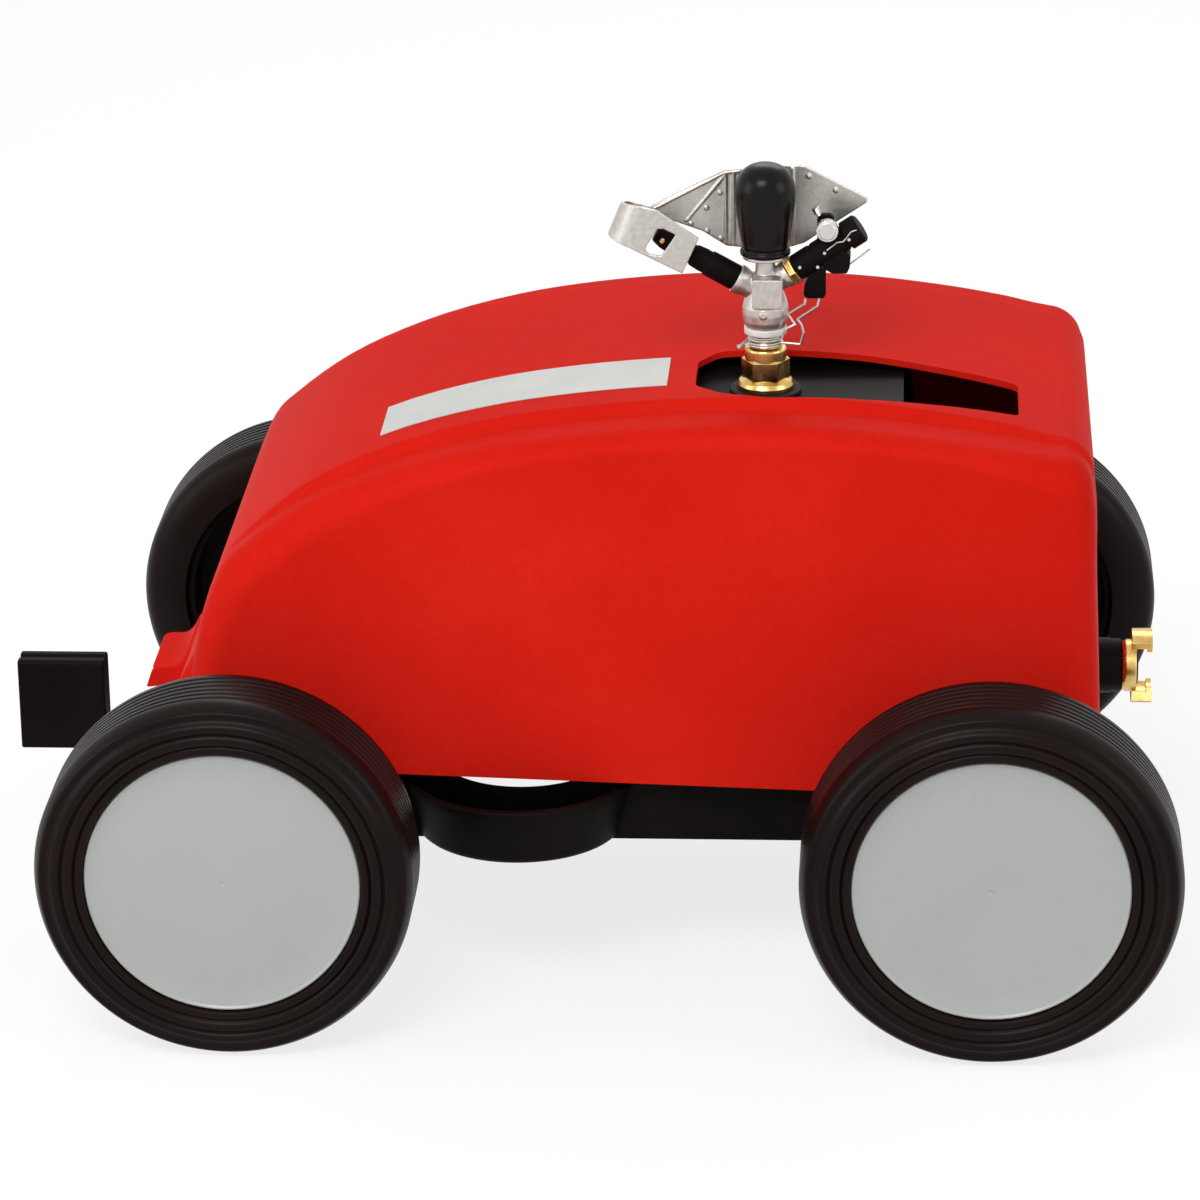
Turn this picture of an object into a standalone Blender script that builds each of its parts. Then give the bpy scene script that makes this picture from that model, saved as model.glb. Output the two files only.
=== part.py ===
"""Self-travelling sprinkler cart: four ribbed wheels, a moulded chassis, a tilting arched hood,
a rope winch driven by a water turbine, and a part-circle impact sprinkler.

Metres, +Z up. The nose points along -X, the hose coupling along +X, and the left side is -Y.
"""

import math

import bmesh
import bpy
from mathutils import Vector

# Fits and clearances
GAP = 0.0003
RUNNING_FIT = 0.0003

# Wheels and axles
TYRE_RADIUS = 0.140
TYRE_WIDTH = 0.0825
TYRE_SEAT_RADIUS = 0.1045
COVER_EDGE = 0.0029
COVER_RADIUS = TYRE_SEAT_RADIUS - COVER_EDGE
COVER_INSET = 0.007
COVER_THICKNESS = 0.0035
COVER_CROWN = 0.0015
RIM_WALL = 0.006
HUB_RADIUS = 0.016
HUB_OUTER_END = 0.010
HUB_INNER_END = 0.036
AXLE_RADIUS = 0.008
AXLE_Z = 0.140
AXLE_CAP_RADIUS = 0.013
AXLE_CAP_LENGTH = 0.010
HALF_TRACK = 0.29375
WHEEL_SIDES = 24
FRONT_AXLE_X = -0.2435
REAR_AXLE_X = 0.3175

# Chassis tray
TRAY_FRONT_X = -0.292
TRAY_REAR_X = 0.380
TRAY_HALF_WIDTH = 0.190
TRAY_CORNER = 0.030
TRAY_BOTTOM_Z = 0.119
TRAY_WALL = 0.005
TRAY_TOP_Z = 0.185
TRAY_FRONT_TOP_Z = 0.150
TRAY_EDGE = 0.006
BULGE_X = -0.0365
BULGE_Y = 0.164
BULGE_RADIUS = 0.088
BULGE_FOOT_RADIUS = 0.079
BULGE_TOP_Z = 0.165
FLOOR_HOLE_RADIUS = 0.066
FLOOR_HOLE_REACH = 0.038
AXLE_BOSS_RADIUS = 0.014
HINGE_X = -0.268
HINGE_Z = 0.205
HINGE_PIN_RADIUS = 0.004
HINGE_POST_Y = 0.1445
HINGE_POST_WIDTH = 0.009
HINGE_POST_HALF_DEPTH = 0.012
SILL_DEPTH = 0.024
SILL_HALF_WIDTH = 0.150
SILL_THICKNESS = 0.005

# Hood
HOOD_WALL = 0.005
HOOD_REAR_X = 0.400
HOOD_REAR_TOP_X = 0.3905
HOOD_SHOULDER_REAR_Z = 0.4238
HOOD_CROWN_STEP = 0.008
HOOD_CROWN_HALF_WIDTH = 0.160
HOOD_STRIP_EDGE = 0.182
HOOD_END_STRIP_EDGE = 0.174
HOOD_EDGE_RADIUS = 0.015
HOOD_END_EDGE_RADIUS = 0.026
HOOD_SIDE_TOP_Y = 0.2045
HOOD_SIDE_FOOT_Y = 0.2085
HOOD_REAR_CORNER = 0.028
NOSE_HALF_WIDTH = 0.168
NOSE_ROUNDING = 0.012
NOSE_LIP_FRONT_X = -0.331
NOSE_LIP_HALF_WIDTH = 0.038
NOSE_LIP_BOTTOM_Z = 0.1925
NOSE_LIP_THICKNESS = 0.006
HOOD_FOOT_Z = 0.1715
HOOD_FOOT_SLOPE = -0.032
HINGE_LUG_WIDTH = 0.006
NOTCH_CLEARANCE = 0.0045

# Label
LABEL_FRONT_X = -0.140
LABEL_REAR_X = 0.075
LABEL_LEFT_Y = -0.118
LABEL_RIGHT_Y = -0.053
LABEL_THICKNESS = 0.0006

# Drive frame that carries the winch and the sprinkler
SIDE_PANEL_Y = 0.062
SIDE_PANEL_THICKNESS = 0.004
DECK_TOP_Z = 0.441
DECK_THICKNESS = 0.005
DECK_FRONT_X = 0.060
DECK_REAR_X = 0.2505
DECK_LEFT_Y = -0.147
DECK_RIGHT_Y = 0.100

# Rope winch
DRUM_X = -0.043
SHAFT_Z = 0.245
DRUM_SHAFT_RADIUS = 0.006
DRUM_FLANGE_RADIUS = 0.085
DRUM_CORE_RADIUS = 0.035
DRUM_HALF_WIDTH = 0.050
DRUM_FLANGE = 0.003
ROPE_OUTER_RADIUS = 0.070
GEAR_TEETH = 32
PINION_TEETH = 8
DRUM_MODULE = 0.00405
IDLER_MODULE = 0.00281
GEAR_WIDTH = 0.009
GEAR_LAYER = 0.0115
FIRST_GEAR_Y = 0.0675
IDLER_PIN_RADIUS = 0.005
ROTOR_SHAFT_RADIUS = 0.004

# Water turbine
TURBINE_Y = -0.0643
TURBINE_LENGTH = 0.057
TURBINE_RADIUS = 0.042
TURBINE_WALL = 0.004
ROTOR_TIP_RADIUS = 0.036
ROTOR_BLADES = 8
OUTLET_BOSS_RADIUS = 0.014
INLET_BOSS_RADIUS = 0.012
INLET_BOSS_END_X = 0.150
INLET_BOSS_Y = -0.100
INLET_BOSS_Z = 0.212

# Water inlet, stop valve and stop bar
INLET_Z = 0.188
COLLAR_RADIUS = 0.0215
COLLAR_FRONT_X = 0.372
COLLAR_REAR_X = 0.420
COUPLING_REAR_X = 0.444
COUPLING_LUG_RADIUS = 0.029
COUPLING_BORE_RADIUS = 0.010
PIPE_RADIUS = 0.009
PIPE_BORE_RADIUS = 0.0065
VALVE_FRONT_X = 0.240
VALVE_REAR_X = 0.300
VALVE_RADIUS = 0.020
VALVE_OUTLET_X = 0.275
PLUNGER_RADIUS = 0.0085
PLUNGER_ENGAGED = 0.010
STOP_TRAVEL = 0.020
STOP_BAR_HALF_WIDTH = 0.0125
STOP_BAR_BOTTOM_Z = 0.1252
STOP_BAR_THICKNESS = 0.006
STOP_TAB_X = 0.200
STOP_TAB_THICKNESS = 0.0047
STOP_PLATE_FRONT_X = -0.444
STOP_PLATE_REAR_X = -0.3755
STOP_PLATE_BOTTOM_Z = 0.114
STOP_PLATE_TOP_Z = 0.188
STOP_PLATE_HALF_WIDTH = 0.0125
STOP_PLATE_CORNER = 0.004
STOP_PLATE_GROOVE = 0.003
STOP_SPRING_RADIUS = 0.0115
STOP_SPRING_WIRE = 0.001
STOP_SPRING_TURNS = 5
ROPE_EYE_RADIUS = 0.005
ROPE_EYE_Z = 0.143

# Sprinkler, on its vertical axis
SPRINKLER_X = 0.1475
SPRINKLER_Y = -0.088
WASHER_RADIUS = 0.0268
WASHER_THICKNESS = 0.003
THREAD_RADIUS = 0.0102
SPINDLE_RADIUS = 0.0072
WATERWAY_RADIUS = 0.0050
BASE_FLANGE_RADIUS = 0.0208
BASE_FLANGE_HEIGHT = 0.008
HEX_RADIUS = 0.0173
HEX_HEIGHT = 0.0095
SLEEVE_RADIUS = 0.0150
SLEEVE_HEIGHT = 0.0060
SHOULDER_HEIGHT = 0.0025
RING_RADIUS = 0.0156
RING_Z = 0.4825
RING_THICKNESS = 0.0035
BODY_RADIUS = 0.0171
NECK_RADIUS = 0.0075
NECK_TOP_Z = 0.545
SPINDLE_TOP_Z = 0.515
ARM_BOSS_RADIUS = 0.0112
NOZZLE_RADIUS = 0.0098
NOZZLE_TIP_RADIUS = 0.0075
NOZZLE_BORE_RADIUS = 0.0030
NOZZLE_AXIS_Z = 0.5172
NOZZLE_SLOPE = math.radians(29.3)
NOZZLE_START = 0.0250
NOZZLE_LENGTH = 0.0370
NOZZLE_TIP_LENGTH = 0.0240
SPREADER_AXIS_Z = 0.5219
SPREADER_SLOPE = math.radians(33.7)
SPREADER_NUT_START = 0.0215
SPREADER_NUT_LENGTH = 0.0060
SPREADER_NUT_RADIUS = 0.0115
SPREADER_RADIUS = 0.0100
SPREADER_LENGTH = 0.0570
SPREADER_CAP_RADIUS = 0.0113
SPREADER_CAP_LENGTH = 0.0140
ARM_THICKNESS = 0.0026
ARM_HUB_RADIUS = 0.0170
ARM_HUB_THICKNESS = 0.0025
ARM_PIN_RADIUS = 0.005
ARM_PIN_HEAD = 0.006
ARM_PIN_HEAD_RADIUS = 0.0090
ARM_SPRING_RADIUS = 0.0072
ARM_SPRING_WIRE = 0.001
ARM_SPRING_TURNS = 6
DOME_BOTTOM_Z = NECK_TOP_Z + ARM_HUB_THICKNESS + 2 * GAP
DOME_TOP_Z = 0.6180
DOME_HEADROOM = 0.022
ARM_PIN_TOP_Z = DOME_TOP_Z - DOME_HEADROOM
DOME_RADIUS = 0.0227
DOME_RIM_RADIUS = 0.0180
DOME_WALL = 0.003
KNOB_RADIUS = 0.0083
KNOB_LENGTH = 0.008
TRIP_WIRE_RADIUS = 0.0009
TRIP_WIRE_PITCH = 0.0023
TRIP_WIRE_TURNS = 1.4
TRIP_BLOCK_REAR_X = 0.1925
TRIP_BLOCK_FOOT_Z = 0.5155
TRIP_BLOCK_WIDTH = 0.013

FINISHES = {
    "hood_red": ((0.62, 0.012, 0.008), 0.38, 0.0),
    "moulded_black": ((0.012, 0.011, 0.011), 0.55, 0.0),
    "tyre_black": ((0.016, 0.012, 0.011), 0.62, 0.0),
    "cover_grey": ((0.36, 0.40, 0.42), 0.45, 0.0),
    "label_white": ((0.80, 0.80, 0.80), 0.45, 0.0),
    "brass": ((0.62, 0.40, 0.13), 0.28, 1.0),
    "cast_aluminium": ((0.55, 0.54, 0.52), 0.40, 1.0),
    "plated_steel": ((0.60, 0.59, 0.57), 0.30, 1.0),
    "white_plastic": ((0.78, 0.76, 0.72), 0.40, 0.0),
    "seal_rubber": ((0.010, 0.010, 0.010), 0.75, 0.0),
    "rope_fibre": ((0.55, 0.50, 0.38), 0.85, 0.0),
    "gear_plastic": ((0.70, 0.68, 0.62), 0.45, 0.0),
}

AXES = {
    "X": (Vector((1, 0, 0)), Vector((0, 1, 0)), Vector((0, 0, 1))),
    "Y": (Vector((0, 1, 0)), Vector((1, 0, 0)), Vector((0, 0, 1))),
    "Z": (Vector((0, 0, 1)), Vector((1, 0, 0)), Vector((0, 1, 0))),
}


def finish(name):
    """Material of a finish, made once."""
    if name in bpy.data.materials:
        return bpy.data.materials[name]
    colour, roughness, metallic = FINISHES[name]
    material = bpy.data.materials.new(name)
    material.use_nodes = True
    shader = material.node_tree.nodes["Principled BSDF"]
    shader.inputs["Base Color"].default_value = (*colour, 1.0)
    shader.inputs["Roughness"].default_value = roughness
    shader.inputs["Metallic"].default_value = metallic
    material.diffuse_color = (*colour, 1.0)
    return material


def to_mesh(name, shape, origin=(0, 0, 0)):
    """Mesh of a bmesh, faces outward, measured from origin."""
    bmesh.ops.translate(shape, verts=shape.verts, vec=-Vector(origin))
    bmesh.ops.recalc_face_normals(shape, faces=shape.faces)
    mesh = bpy.data.meshes.new(name)
    shape.to_mesh(mesh)
    shape.free()
    mesh.shade_smooth()
    mesh.set_sharp_from_angle(angle=math.radians(32))
    return mesh


def place(name, mesh, origin=(0, 0, 0), parent="cart"):
    """Object on the cart, or on a wheel's empty."""
    body = bpy.data.objects.new(name, mesh)
    body.location = origin
    body.parent = bpy.data.objects[parent]
    bpy.context.collection.objects.link(body)
    return body


def keep(name, shape, surface, origin=(0, 0, 0)):
    """Object of the part. A moving piece has its origin on its joint's axis."""
    mesh = to_mesh(name, shape, origin)
    mesh.materials.append(finish(surface))
    return place(name, mesh, origin)


def shaped(body, operation, *shapes):
    """Adds or cuts shapes that don't overlap each other, by one Boolean."""
    joined = bmesh.new()
    for shape in shapes:
        bmesh.ops.recalc_face_normals(shape, faces=shape.faces)
        mesh = bpy.data.meshes.new("piece")
        shape.to_mesh(mesh)
        shape.free()
        joined.from_mesh(mesh)
    tool_mesh = bpy.data.meshes.new(body.name + "_tool")
    joined.to_mesh(tool_mesh)
    joined.free()
    tool = place(body.name + "_tool", tool_mesh)
    tool.hide_render = True
    tool.display_type = "WIRE"
    change = body.modifiers.new(operation.lower(), "BOOLEAN")
    change.operation = operation
    change.solver = "EXACT"
    change.object = tool
    return body


def turned(profile, axis="Z", centre=(0, 0, 0), steps=32, along=None):
    """Revolves (radius, height) points about an axis. A profile with no point on the axis is a ring."""
    direction, first, second = AXES[axis] if along is None else slanted(along)
    shape = bmesh.new()
    rings = []
    for radius, height in profile:
        middle = Vector(centre) + direction * height
        if radius == 0:
            rings.append([shape.verts.new(middle)])
            continue
        turn = [2 * math.pi * k / steps for k in range(steps)]
        rings.append([shape.verts.new(middle + (first * math.cos(a) + second * math.sin(a)) * radius) for a in turn])
    pairs = list(zip(rings, rings[1:]))
    if profile[0][0] != 0 or profile[-1][0] != 0:
        pairs.append((rings[-1], rings[0]))
    for low, high in pairs:
        for k in range(steps if len(low) + len(high) > 2 else 0):
            corners = [low[k % len(low)], low[(k + 1) % len(low)], high[(k + 1) % len(high)], high[k % len(high)]]
            shape.faces.new(list(dict.fromkeys(corners)))
    return shape


def slanted(direction):
    """Frame about a direction in the XZ plane."""
    direction = Vector(direction).normalized()
    across = Vector((0, 1, 0))
    return direction, across, direction.cross(across)


def extruded(outline, axis, low, high):
    """Pushes an outline along an axis. Its points are (Y, Z), (X, Z) or (X, Y)."""
    direction, first, second = AXES[axis]
    shape = bmesh.new()
    ends = [[shape.verts.new(first * u + second * v + direction * level) for u, v in outline] for level in (low, high)]
    count = len(outline)
    shape.faces.new(ends[0])
    shape.faces.new(ends[1])
    for k in range(count):
        shape.faces.new((ends[0][k], ends[0][(k + 1) % count], ends[1][(k + 1) % count], ends[1][k]))
    return shape


def box(x, y, z):
    """Block between pairs of limits."""
    return extruded([(x[0], y[0]), (x[1], y[0]), (x[1], y[1]), (x[0], y[1])], "Z", z[0], z[1])


def cylinder(radius, axis, centre, low, high, steps=24):
    return turned([(0, low), (radius, low), (radius, high), (0, high)], axis, centre, steps)


def arc(centre, radius, start, end, count):
    """Points of an arc, angles in degrees."""
    angles = [math.radians(start + (end - start) * k / (count - 1)) for k in range(count)]
    return [(centre[0] + radius * math.cos(a), centre[1] + radius * math.sin(a)) for a in angles]


def rounded_rectangle(x, y, corner, count=4):
    points = arc((x[1] - corner, y[1] - corner), corner, 0, 90, count)
    points += arc((x[0] + corner, y[1] - corner), corner, 90, 180, count)
    points += arc((x[0] + corner, y[0] + corner), corner, 180, 270, count)
    points += arc((x[1] - corner, y[0] + corner), corner, 270, 360, count)
    return points


def smooth_curve(points, per_span):
    """Catmull-Rom curve through points."""
    points = [Vector(p) for p in points]
    padded = [points[0] * 2 - points[1], *points, points[-1] * 2 - points[-2]]
    curve = []
    for a, b, c, d in zip(padded, padded[1:], padded[2:], padded[3:]):
        for k in range(per_span):
            t = k / per_span
            curve.append(0.5 * (2 * b + (c - a) * t + (2 * a - 5 * b + 4 * c - d) * t**2 + (3 * b - 3 * c + d - a) * t**3))
    return [*curve, points[-1]]


def swept(points, radius, bore=None, sides=8):
    """Round rod along points, or a pipe where it has a bore."""
    points = [Vector(p) for p in points]
    ways = [(b - a).normalized() for a, b in zip(points, points[1:])]
    ways = [ways[0]] + [(a + b).normalized() for a, b in zip(ways, ways[1:])] + [ways[-1]]
    across = ways[0].orthogonal().normalized()
    shape = bmesh.new()
    skins = []
    for size in [radius] if bore is None else [radius, bore]:
        rings = []
        side = across
        for point, way in zip(points, ways):
            side = (side - way * side.dot(way)).normalized()
            other = way.cross(side)
            turn = [2 * math.pi * k / sides for k in range(sides)]
            rings.append([shape.verts.new(point + (side * math.cos(a) + other * math.sin(a)) * size) for a in turn])
        skins.append(rings)
        for low, high in zip(rings, rings[1:]):
            for k in range(sides):
                shape.faces.new((low[k], low[(k + 1) % sides], high[(k + 1) % sides], high[k]))
    for end in (0, -1):
        if bore is None:
            shape.faces.new(skins[0][end])
            continue
        outer, inner = skins[0][end], skins[1][end]
        for k in range(sides):
            shape.faces.new((outer[k], outer[(k + 1) % sides], inner[(k + 1) % sides], inner[k]))
    return shape


def least_gap(points, along):
    """Least distance between points of one wire that lie further apart than a length measured along it."""
    travel = [0.0]
    for a, b in zip(points, points[1:]):
        travel.append(travel[-1] + (b - a).length)
    pairs = [(i, j) for i in range(len(points)) for j in range(i) if travel[i] - travel[j] > along]
    return min((points[i] - points[j]).length for i, j in pairs)


def gear_outline(teeth, module, centre, phase=0.0):
    """Gear tooth outline: straight flanks, backlash and tip clearance."""
    pitch = teeth * module / 2
    root, tip = pitch - 1.15 * module, pitch + 0.80 * module
    step = 2 * math.pi / teeth
    points = []
    for k in range(teeth):
        middle = (k + phase) * step
        for radius, half in ((root, 0.27), (tip, 0.11), (tip, -0.11), (root, -0.27)):
            angle = middle - half * step
            points.append((centre[0] + radius * math.cos(angle), centre[1] + radius * math.sin(angle)))
    return points


def hood_foot_z(x):
    """Lower edge of the hood, a little higher at the nose."""
    return HOOD_FOOT_Z + HOOD_FOOT_SLOPE * (x - 0.064)


def make_wheel(name, axle_x, side):
    """Tyre, rim, cover disc and axle cap, about the wheel's own centre."""
    centre = (axle_x, side * HALF_TRACK, AXLE_Z)
    hub = place(name + "_wheel", None, centre)
    half = TYRE_WIDTH / 2
    face = half - COVER_INSET
    cover_back = face - COVER_THICKNESS
    rim_edge = cover_back - GAP

    tyre = [
        (TYRE_SEAT_RADIUS, -half + 0.002),
        (0.120, -half),
        (0.1365, -half + 0.005),
        (TYRE_RADIUS, -half + 0.013),
        (TYRE_RADIUS, half - 0.013),
        (0.1365, half - 0.005),
        (0.122, half),
        (0.108, half - 0.001),
        (COVER_RADIUS + 2 * GAP, face),
        (COVER_RADIUS + 2 * GAP, cover_back),
        (TYRE_SEAT_RADIUS, rim_edge),
    ]
    rim_radius = TYRE_SEAT_RADIUS - GAP
    bore = AXLE_RADIUS + RUNNING_FIT
    rim = [
        (bore, -HUB_INNER_END),
        (HUB_RADIUS, -HUB_INNER_END),
        (HUB_RADIUS, HUB_OUTER_END - RIM_WALL),
        (rim_radius - RIM_WALL, HUB_OUTER_END - RIM_WALL),
        (rim_radius - RIM_WALL, -rim_edge),
        (rim_radius, -rim_edge),
        (rim_radius, rim_edge - GAP),
        (rim_radius - RIM_WALL, rim_edge - GAP),
        (rim_radius - RIM_WALL, HUB_OUTER_END),
        (bore, HUB_OUTER_END),
    ]
    cover = [
        (0, cover_back),
        (COVER_RADIUS, cover_back),
        (COVER_RADIUS, face - 0.001),
        (COVER_RADIUS - 0.003, face),
        (0, face + COVER_CROWN),
    ]
    cap_start = HUB_OUTER_END + GAP
    cap_end = cap_start + AXLE_CAP_LENGTH
    cap = [
        (bore, cap_start),
        (AXLE_CAP_RADIUS, cap_start),
        (AXLE_CAP_RADIUS, cap_end - 0.004),
        (AXLE_CAP_RADIUS - 0.004, cap_end),
        (0, cap_end),
        (0, cap_end - 0.0025),
        (bore, cap_end - 0.0025),
    ]
    pieces = (
        ("tyre", tyre, "tyre_black", WHEEL_SIDES),
        ("rim", rim, "moulded_black", WHEEL_SIDES),
        ("cover", cover, "cover_grey", WHEEL_SIDES),
        ("axle_cap", cap, "plated_steel", 12),
    )
    for piece, profile, surface, steps in pieces:
        mesh_name = "wheel_" + piece
        if mesh_name not in bpy.data.meshes:
            mesh = to_mesh(mesh_name, turned(profile, "Y", steps=steps))
            mesh.materials.append(finish(surface))
        body = place(f"{name}_{piece}", bpy.data.meshes[mesh_name], parent=hub.name)
        body.rotation_euler.z = 0 if side > 0 else math.pi


def make_axle(name, axle_x):
    reach = HALF_TRACK + HUB_OUTER_END + AXLE_CAP_LENGTH - 0.0035
    keep(name, cylinder(AXLE_RADIUS, "Y", (axle_x, 0, AXLE_Z), -reach, reach), "plated_steel")


def make_chassis():
    """Tray with a round bulge on each side, a floor hole under the rope drum, axle tubes and hinge posts."""
    x = (TRAY_FRONT_X, TRAY_REAR_X)
    y = (-TRAY_HALF_WIDTH, TRAY_HALF_WIDTH)
    floor_top = TRAY_BOTTOM_Z + TRAY_WALL
    tray = extruded(rounded_rectangle(x, y, TRAY_CORNER), "Z", TRAY_BOTTOM_Z, TRAY_TOP_Z)
    lower_edges = [e for e in tray.edges if all(abs(v.co.z - TRAY_BOTTOM_Z) < 1e-6 for v in e.verts)]
    bmesh.ops.bevel(tray, geom=lower_edges, offset=TRAY_EDGE, segments=2, affect="EDGES", profile=0.5)
    chassis = keep("chassis", tray, "moulded_black")

    bulge = [
        (0, TRAY_BOTTOM_Z),
        (BULGE_FOOT_RADIUS - TRAY_EDGE, TRAY_BOTTOM_Z),
        (BULGE_FOOT_RADIUS, TRAY_BOTTOM_Z + TRAY_EDGE),
        (BULGE_RADIUS, BULGE_TOP_Z),
        (0, BULGE_TOP_Z),
    ]
    well = [
        (0, floor_top),
        (BULGE_FOOT_RADIUS - TRAY_WALL, floor_top),
        (BULGE_RADIUS - TRAY_WALL, BULGE_TOP_Z),
        (BULGE_RADIUS - TRAY_WALL, TRAY_TOP_Z + 0.01),
        (0, TRAY_TOP_Z + 0.01),
    ]
    sides = (-1, 1)
    boss_end = HALF_TRACK - HUB_INNER_END - GAP
    boss_start = TRAY_HALF_WIDTH - 0.002
    bosses = [
        cylinder(AXLE_BOSS_RADIUS, "Y", (axle_x, 0, AXLE_Z), *sorted((s * boss_start, s * boss_end)), 16)
        for axle_x in (FRONT_AXLE_X, REAR_AXLE_X)
        for s in sides
    ]
    bulges = [turned(bulge, "Z", (BULGE_X, s * BULGE_Y, 0), 24) for s in sides]
    shaped(chassis, "UNION", *bosses, *bulges)

    inside_x = (TRAY_FRONT_X + TRAY_WALL, TRAY_REAR_X - TRAY_WALL)
    inside_y = (-TRAY_HALF_WIDTH + TRAY_WALL, TRAY_HALF_WIDTH - TRAY_WALL)
    cavity = rounded_rectangle(inside_x, inside_y, TRAY_CORNER - TRAY_WALL)
    shaped(chassis, "DIFFERENCE", extruded(cavity, "Z", floor_top, TRAY_TOP_Z + 0.02))
    shaped(chassis, "DIFFERENCE", *[turned(well, "Z", (BULGE_X, s * BULGE_Y, 0), 24) for s in sides])

    hole = arc((BULGE_X - 0.0065, FLOOR_HOLE_REACH), FLOOR_HOLE_RADIUS, 0, 180, 11)
    hole += arc((BULGE_X - 0.0065, -FLOOR_HOLE_REACH), FLOOR_HOLE_RADIUS, 180, 360, 11)
    lowered = box((TRAY_FRONT_X - 0.05, -0.235), (-0.3, 0.3), (TRAY_FRONT_TOP_Z, TRAY_TOP_Z + 0.05))
    shaped(chassis, "DIFFERENCE", extruded(hole, "Z", TRAY_BOTTOM_Z - 0.01, floor_top + 0.002), lowered)

    post_half = HINGE_POST_HALF_DEPTH
    post = arc((HINGE_X, HINGE_Z), post_half, 0, 180, 9)
    post += [(HINGE_X - post_half, floor_top - 0.002), (HINGE_X + post_half, floor_top - 0.002)]
    post_y = [(s * HINGE_POST_Y - HINGE_POST_WIDTH / 2, s * HINGE_POST_Y + HINGE_POST_WIDTH / 2) for s in sides]
    sill_top = hood_foot_z(HOOD_REAR_X) - 0.0005
    sill = box((TRAY_REAR_X - 0.002, TRAY_REAR_X + SILL_DEPTH), (-SILL_HALF_WIDTH, SILL_HALF_WIDTH),
               (sill_top - SILL_THICKNESS, sill_top))
    shaped(chassis, "UNION", *[extruded(post, "Y", *limits) for limits in post_y], sill)

    bore = AXLE_RADIUS + RUNNING_FIT
    reach = HALF_TRACK
    bores = [cylinder(bore, "Y", (axle_x, 0, AXLE_Z), -reach, reach) for axle_x in (FRONT_AXLE_X, REAR_AXLE_X)]
    pin_bore = cylinder(HINGE_PIN_RADIUS + RUNNING_FIT, "Y", (HINGE_X, 0, HINGE_Z), -0.19, 0.19, 16)
    cradle = cylinder(COLLAR_RADIUS + GAP, "X", (0, 0, INLET_Z), COLLAR_FRONT_X - 0.005, TRAY_REAR_X + 0.05, 24)
    bar_top = STOP_BAR_BOTTOM_Z + STOP_BAR_THICKNESS + GAP
    bar_half = STOP_BAR_HALF_WIDTH + GAP
    bar_slot = box((TRAY_FRONT_X - 0.01, TRAY_FRONT_X + 0.02), (-bar_half, bar_half), (floor_top, bar_top))
    rope_notch = box((TRAY_FRONT_X - 0.01, TRAY_FRONT_X + 0.02), (-0.009, 0.009), (ROPE_EYE_Z - 0.008, 0.2))
    shaped(chassis, "DIFFERENCE", *bores, pin_bore, cradle, bar_slot, rope_notch)


def hood_columns():
    """Crown line and shoulder line of the hood from the foot of the nose, over the top, to the rear foot."""
    nose = [
        (-0.3125, None), (-0.3015, 0.2105), (-0.2915, 0.2355), (-0.2815, 0.2560), (-0.2784, 0.2682),
        (-0.2754, 0.2802), (-0.2738, 0.2862), (-0.2698, 0.2997),
    ]
    front = [
        (-0.2860, None), (-0.2842, 0.2100), (-0.2825, 0.2350), (-0.2795, 0.2560), (-0.2775, 0.2680),
        (-0.2750, 0.2800), (-0.2735, 0.2860), (-0.2695, 0.2995),
    ]
    arch = [
        (-0.2635, 0.3150, 0.05), (-0.2530, 0.3350, 0.08), (-0.2375, 0.3490, 0.25), (-0.1949, 0.3798, 0.68),
        (-0.1379, 0.4062, 0.95), (-0.0573, 0.4296, 1.0), (0.0066, 0.4400, 1.0), (0.0864, 0.4470, 1.0),
        (0.1500, 0.4485, 1.0), (0.2136, 0.4460, 1.0), (0.2746, 0.4390, 0.95), (0.3301, 0.4300, 0.80),
        (0.3620, HOOD_SHOULDER_REAR_Z, 0.55),
    ]
    corner_centre = (HOOD_REAR_TOP_X - HOOD_REAR_CORNER, HOOD_SHOULDER_REAR_Z - HOOD_REAR_CORNER)
    corner = arc(corner_centre, HOOD_REAR_CORNER, 78, 3, 5)
    rear = [(HOOD_REAR_TOP_X + 0.0035, 0.320), (HOOD_REAR_TOP_X + 0.0070, 0.240), (HOOD_REAR_X, None)]
    steps = [share for x, z, share in arch] + [0.50, 0.44, 0.36, 0.28, 0.20, 0.15, 0.10, 0.10]
    shoulder = [*front, *[(x, z) for x, z, share in arch], *corner, *rear]
    shoulder = [(x, hood_foot_z(x) if z is None else z) for x, z in shoulder]
    crown = [(x, hood_foot_z(x) if z is None else z) for x, z in nose]
    points = [Vector((x, 0, z)) for x, z in shoulder]
    normals = []
    for k in range(len(points)):
        along = points[min(k + 1, len(points) - 1)] - points[max(k - 1, 0)]
        normals.append(Vector((-along.z, 0, along.x)).normalized())
    crown_points = [Vector((x, 0, z)) for x, z in crown]
    behind = zip(points[len(crown):], normals[len(crown):], steps)
    crown_points += [p + n * HOOD_CROWN_STEP * share for p, n, share in behind]
    return crown_points, points, normals


def hood_section(crown, shoulder, normal, nose_share, end_share):
    """Points of one half section, from the middle of the hood to the top of its side wall."""
    edge = HOOD_CROWN_HALF_WIDTH + (NOSE_HALF_WIDTH - HOOD_CROWN_HALF_WIDTH) * nose_share
    strip = HOOD_STRIP_EDGE + (HOOD_END_STRIP_EDGE - HOOD_STRIP_EDGE) * end_share
    depth = HOOD_EDGE_RADIUS + (HOOD_END_EDGE_RADIUS - HOOD_EDGE_RADIUS) * end_share
    half = [(0.0, crown), (edge - NOSE_ROUNDING, crown)]
    for share, back in ((0.60, 0.30), (1.0, 1.0)):
        half.append((edge - NOSE_ROUNDING * (1 - share), crown.lerp(shoulder, back)))
    side_y = side_wall_y(shoulder.z)
    for angle in (0, 30, 60, 90):
        turn = math.radians(angle)
        half.append((strip + (side_y - strip) * math.sin(turn), shoulder - normal * depth * (1 - math.cos(turn))))
    return half


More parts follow.
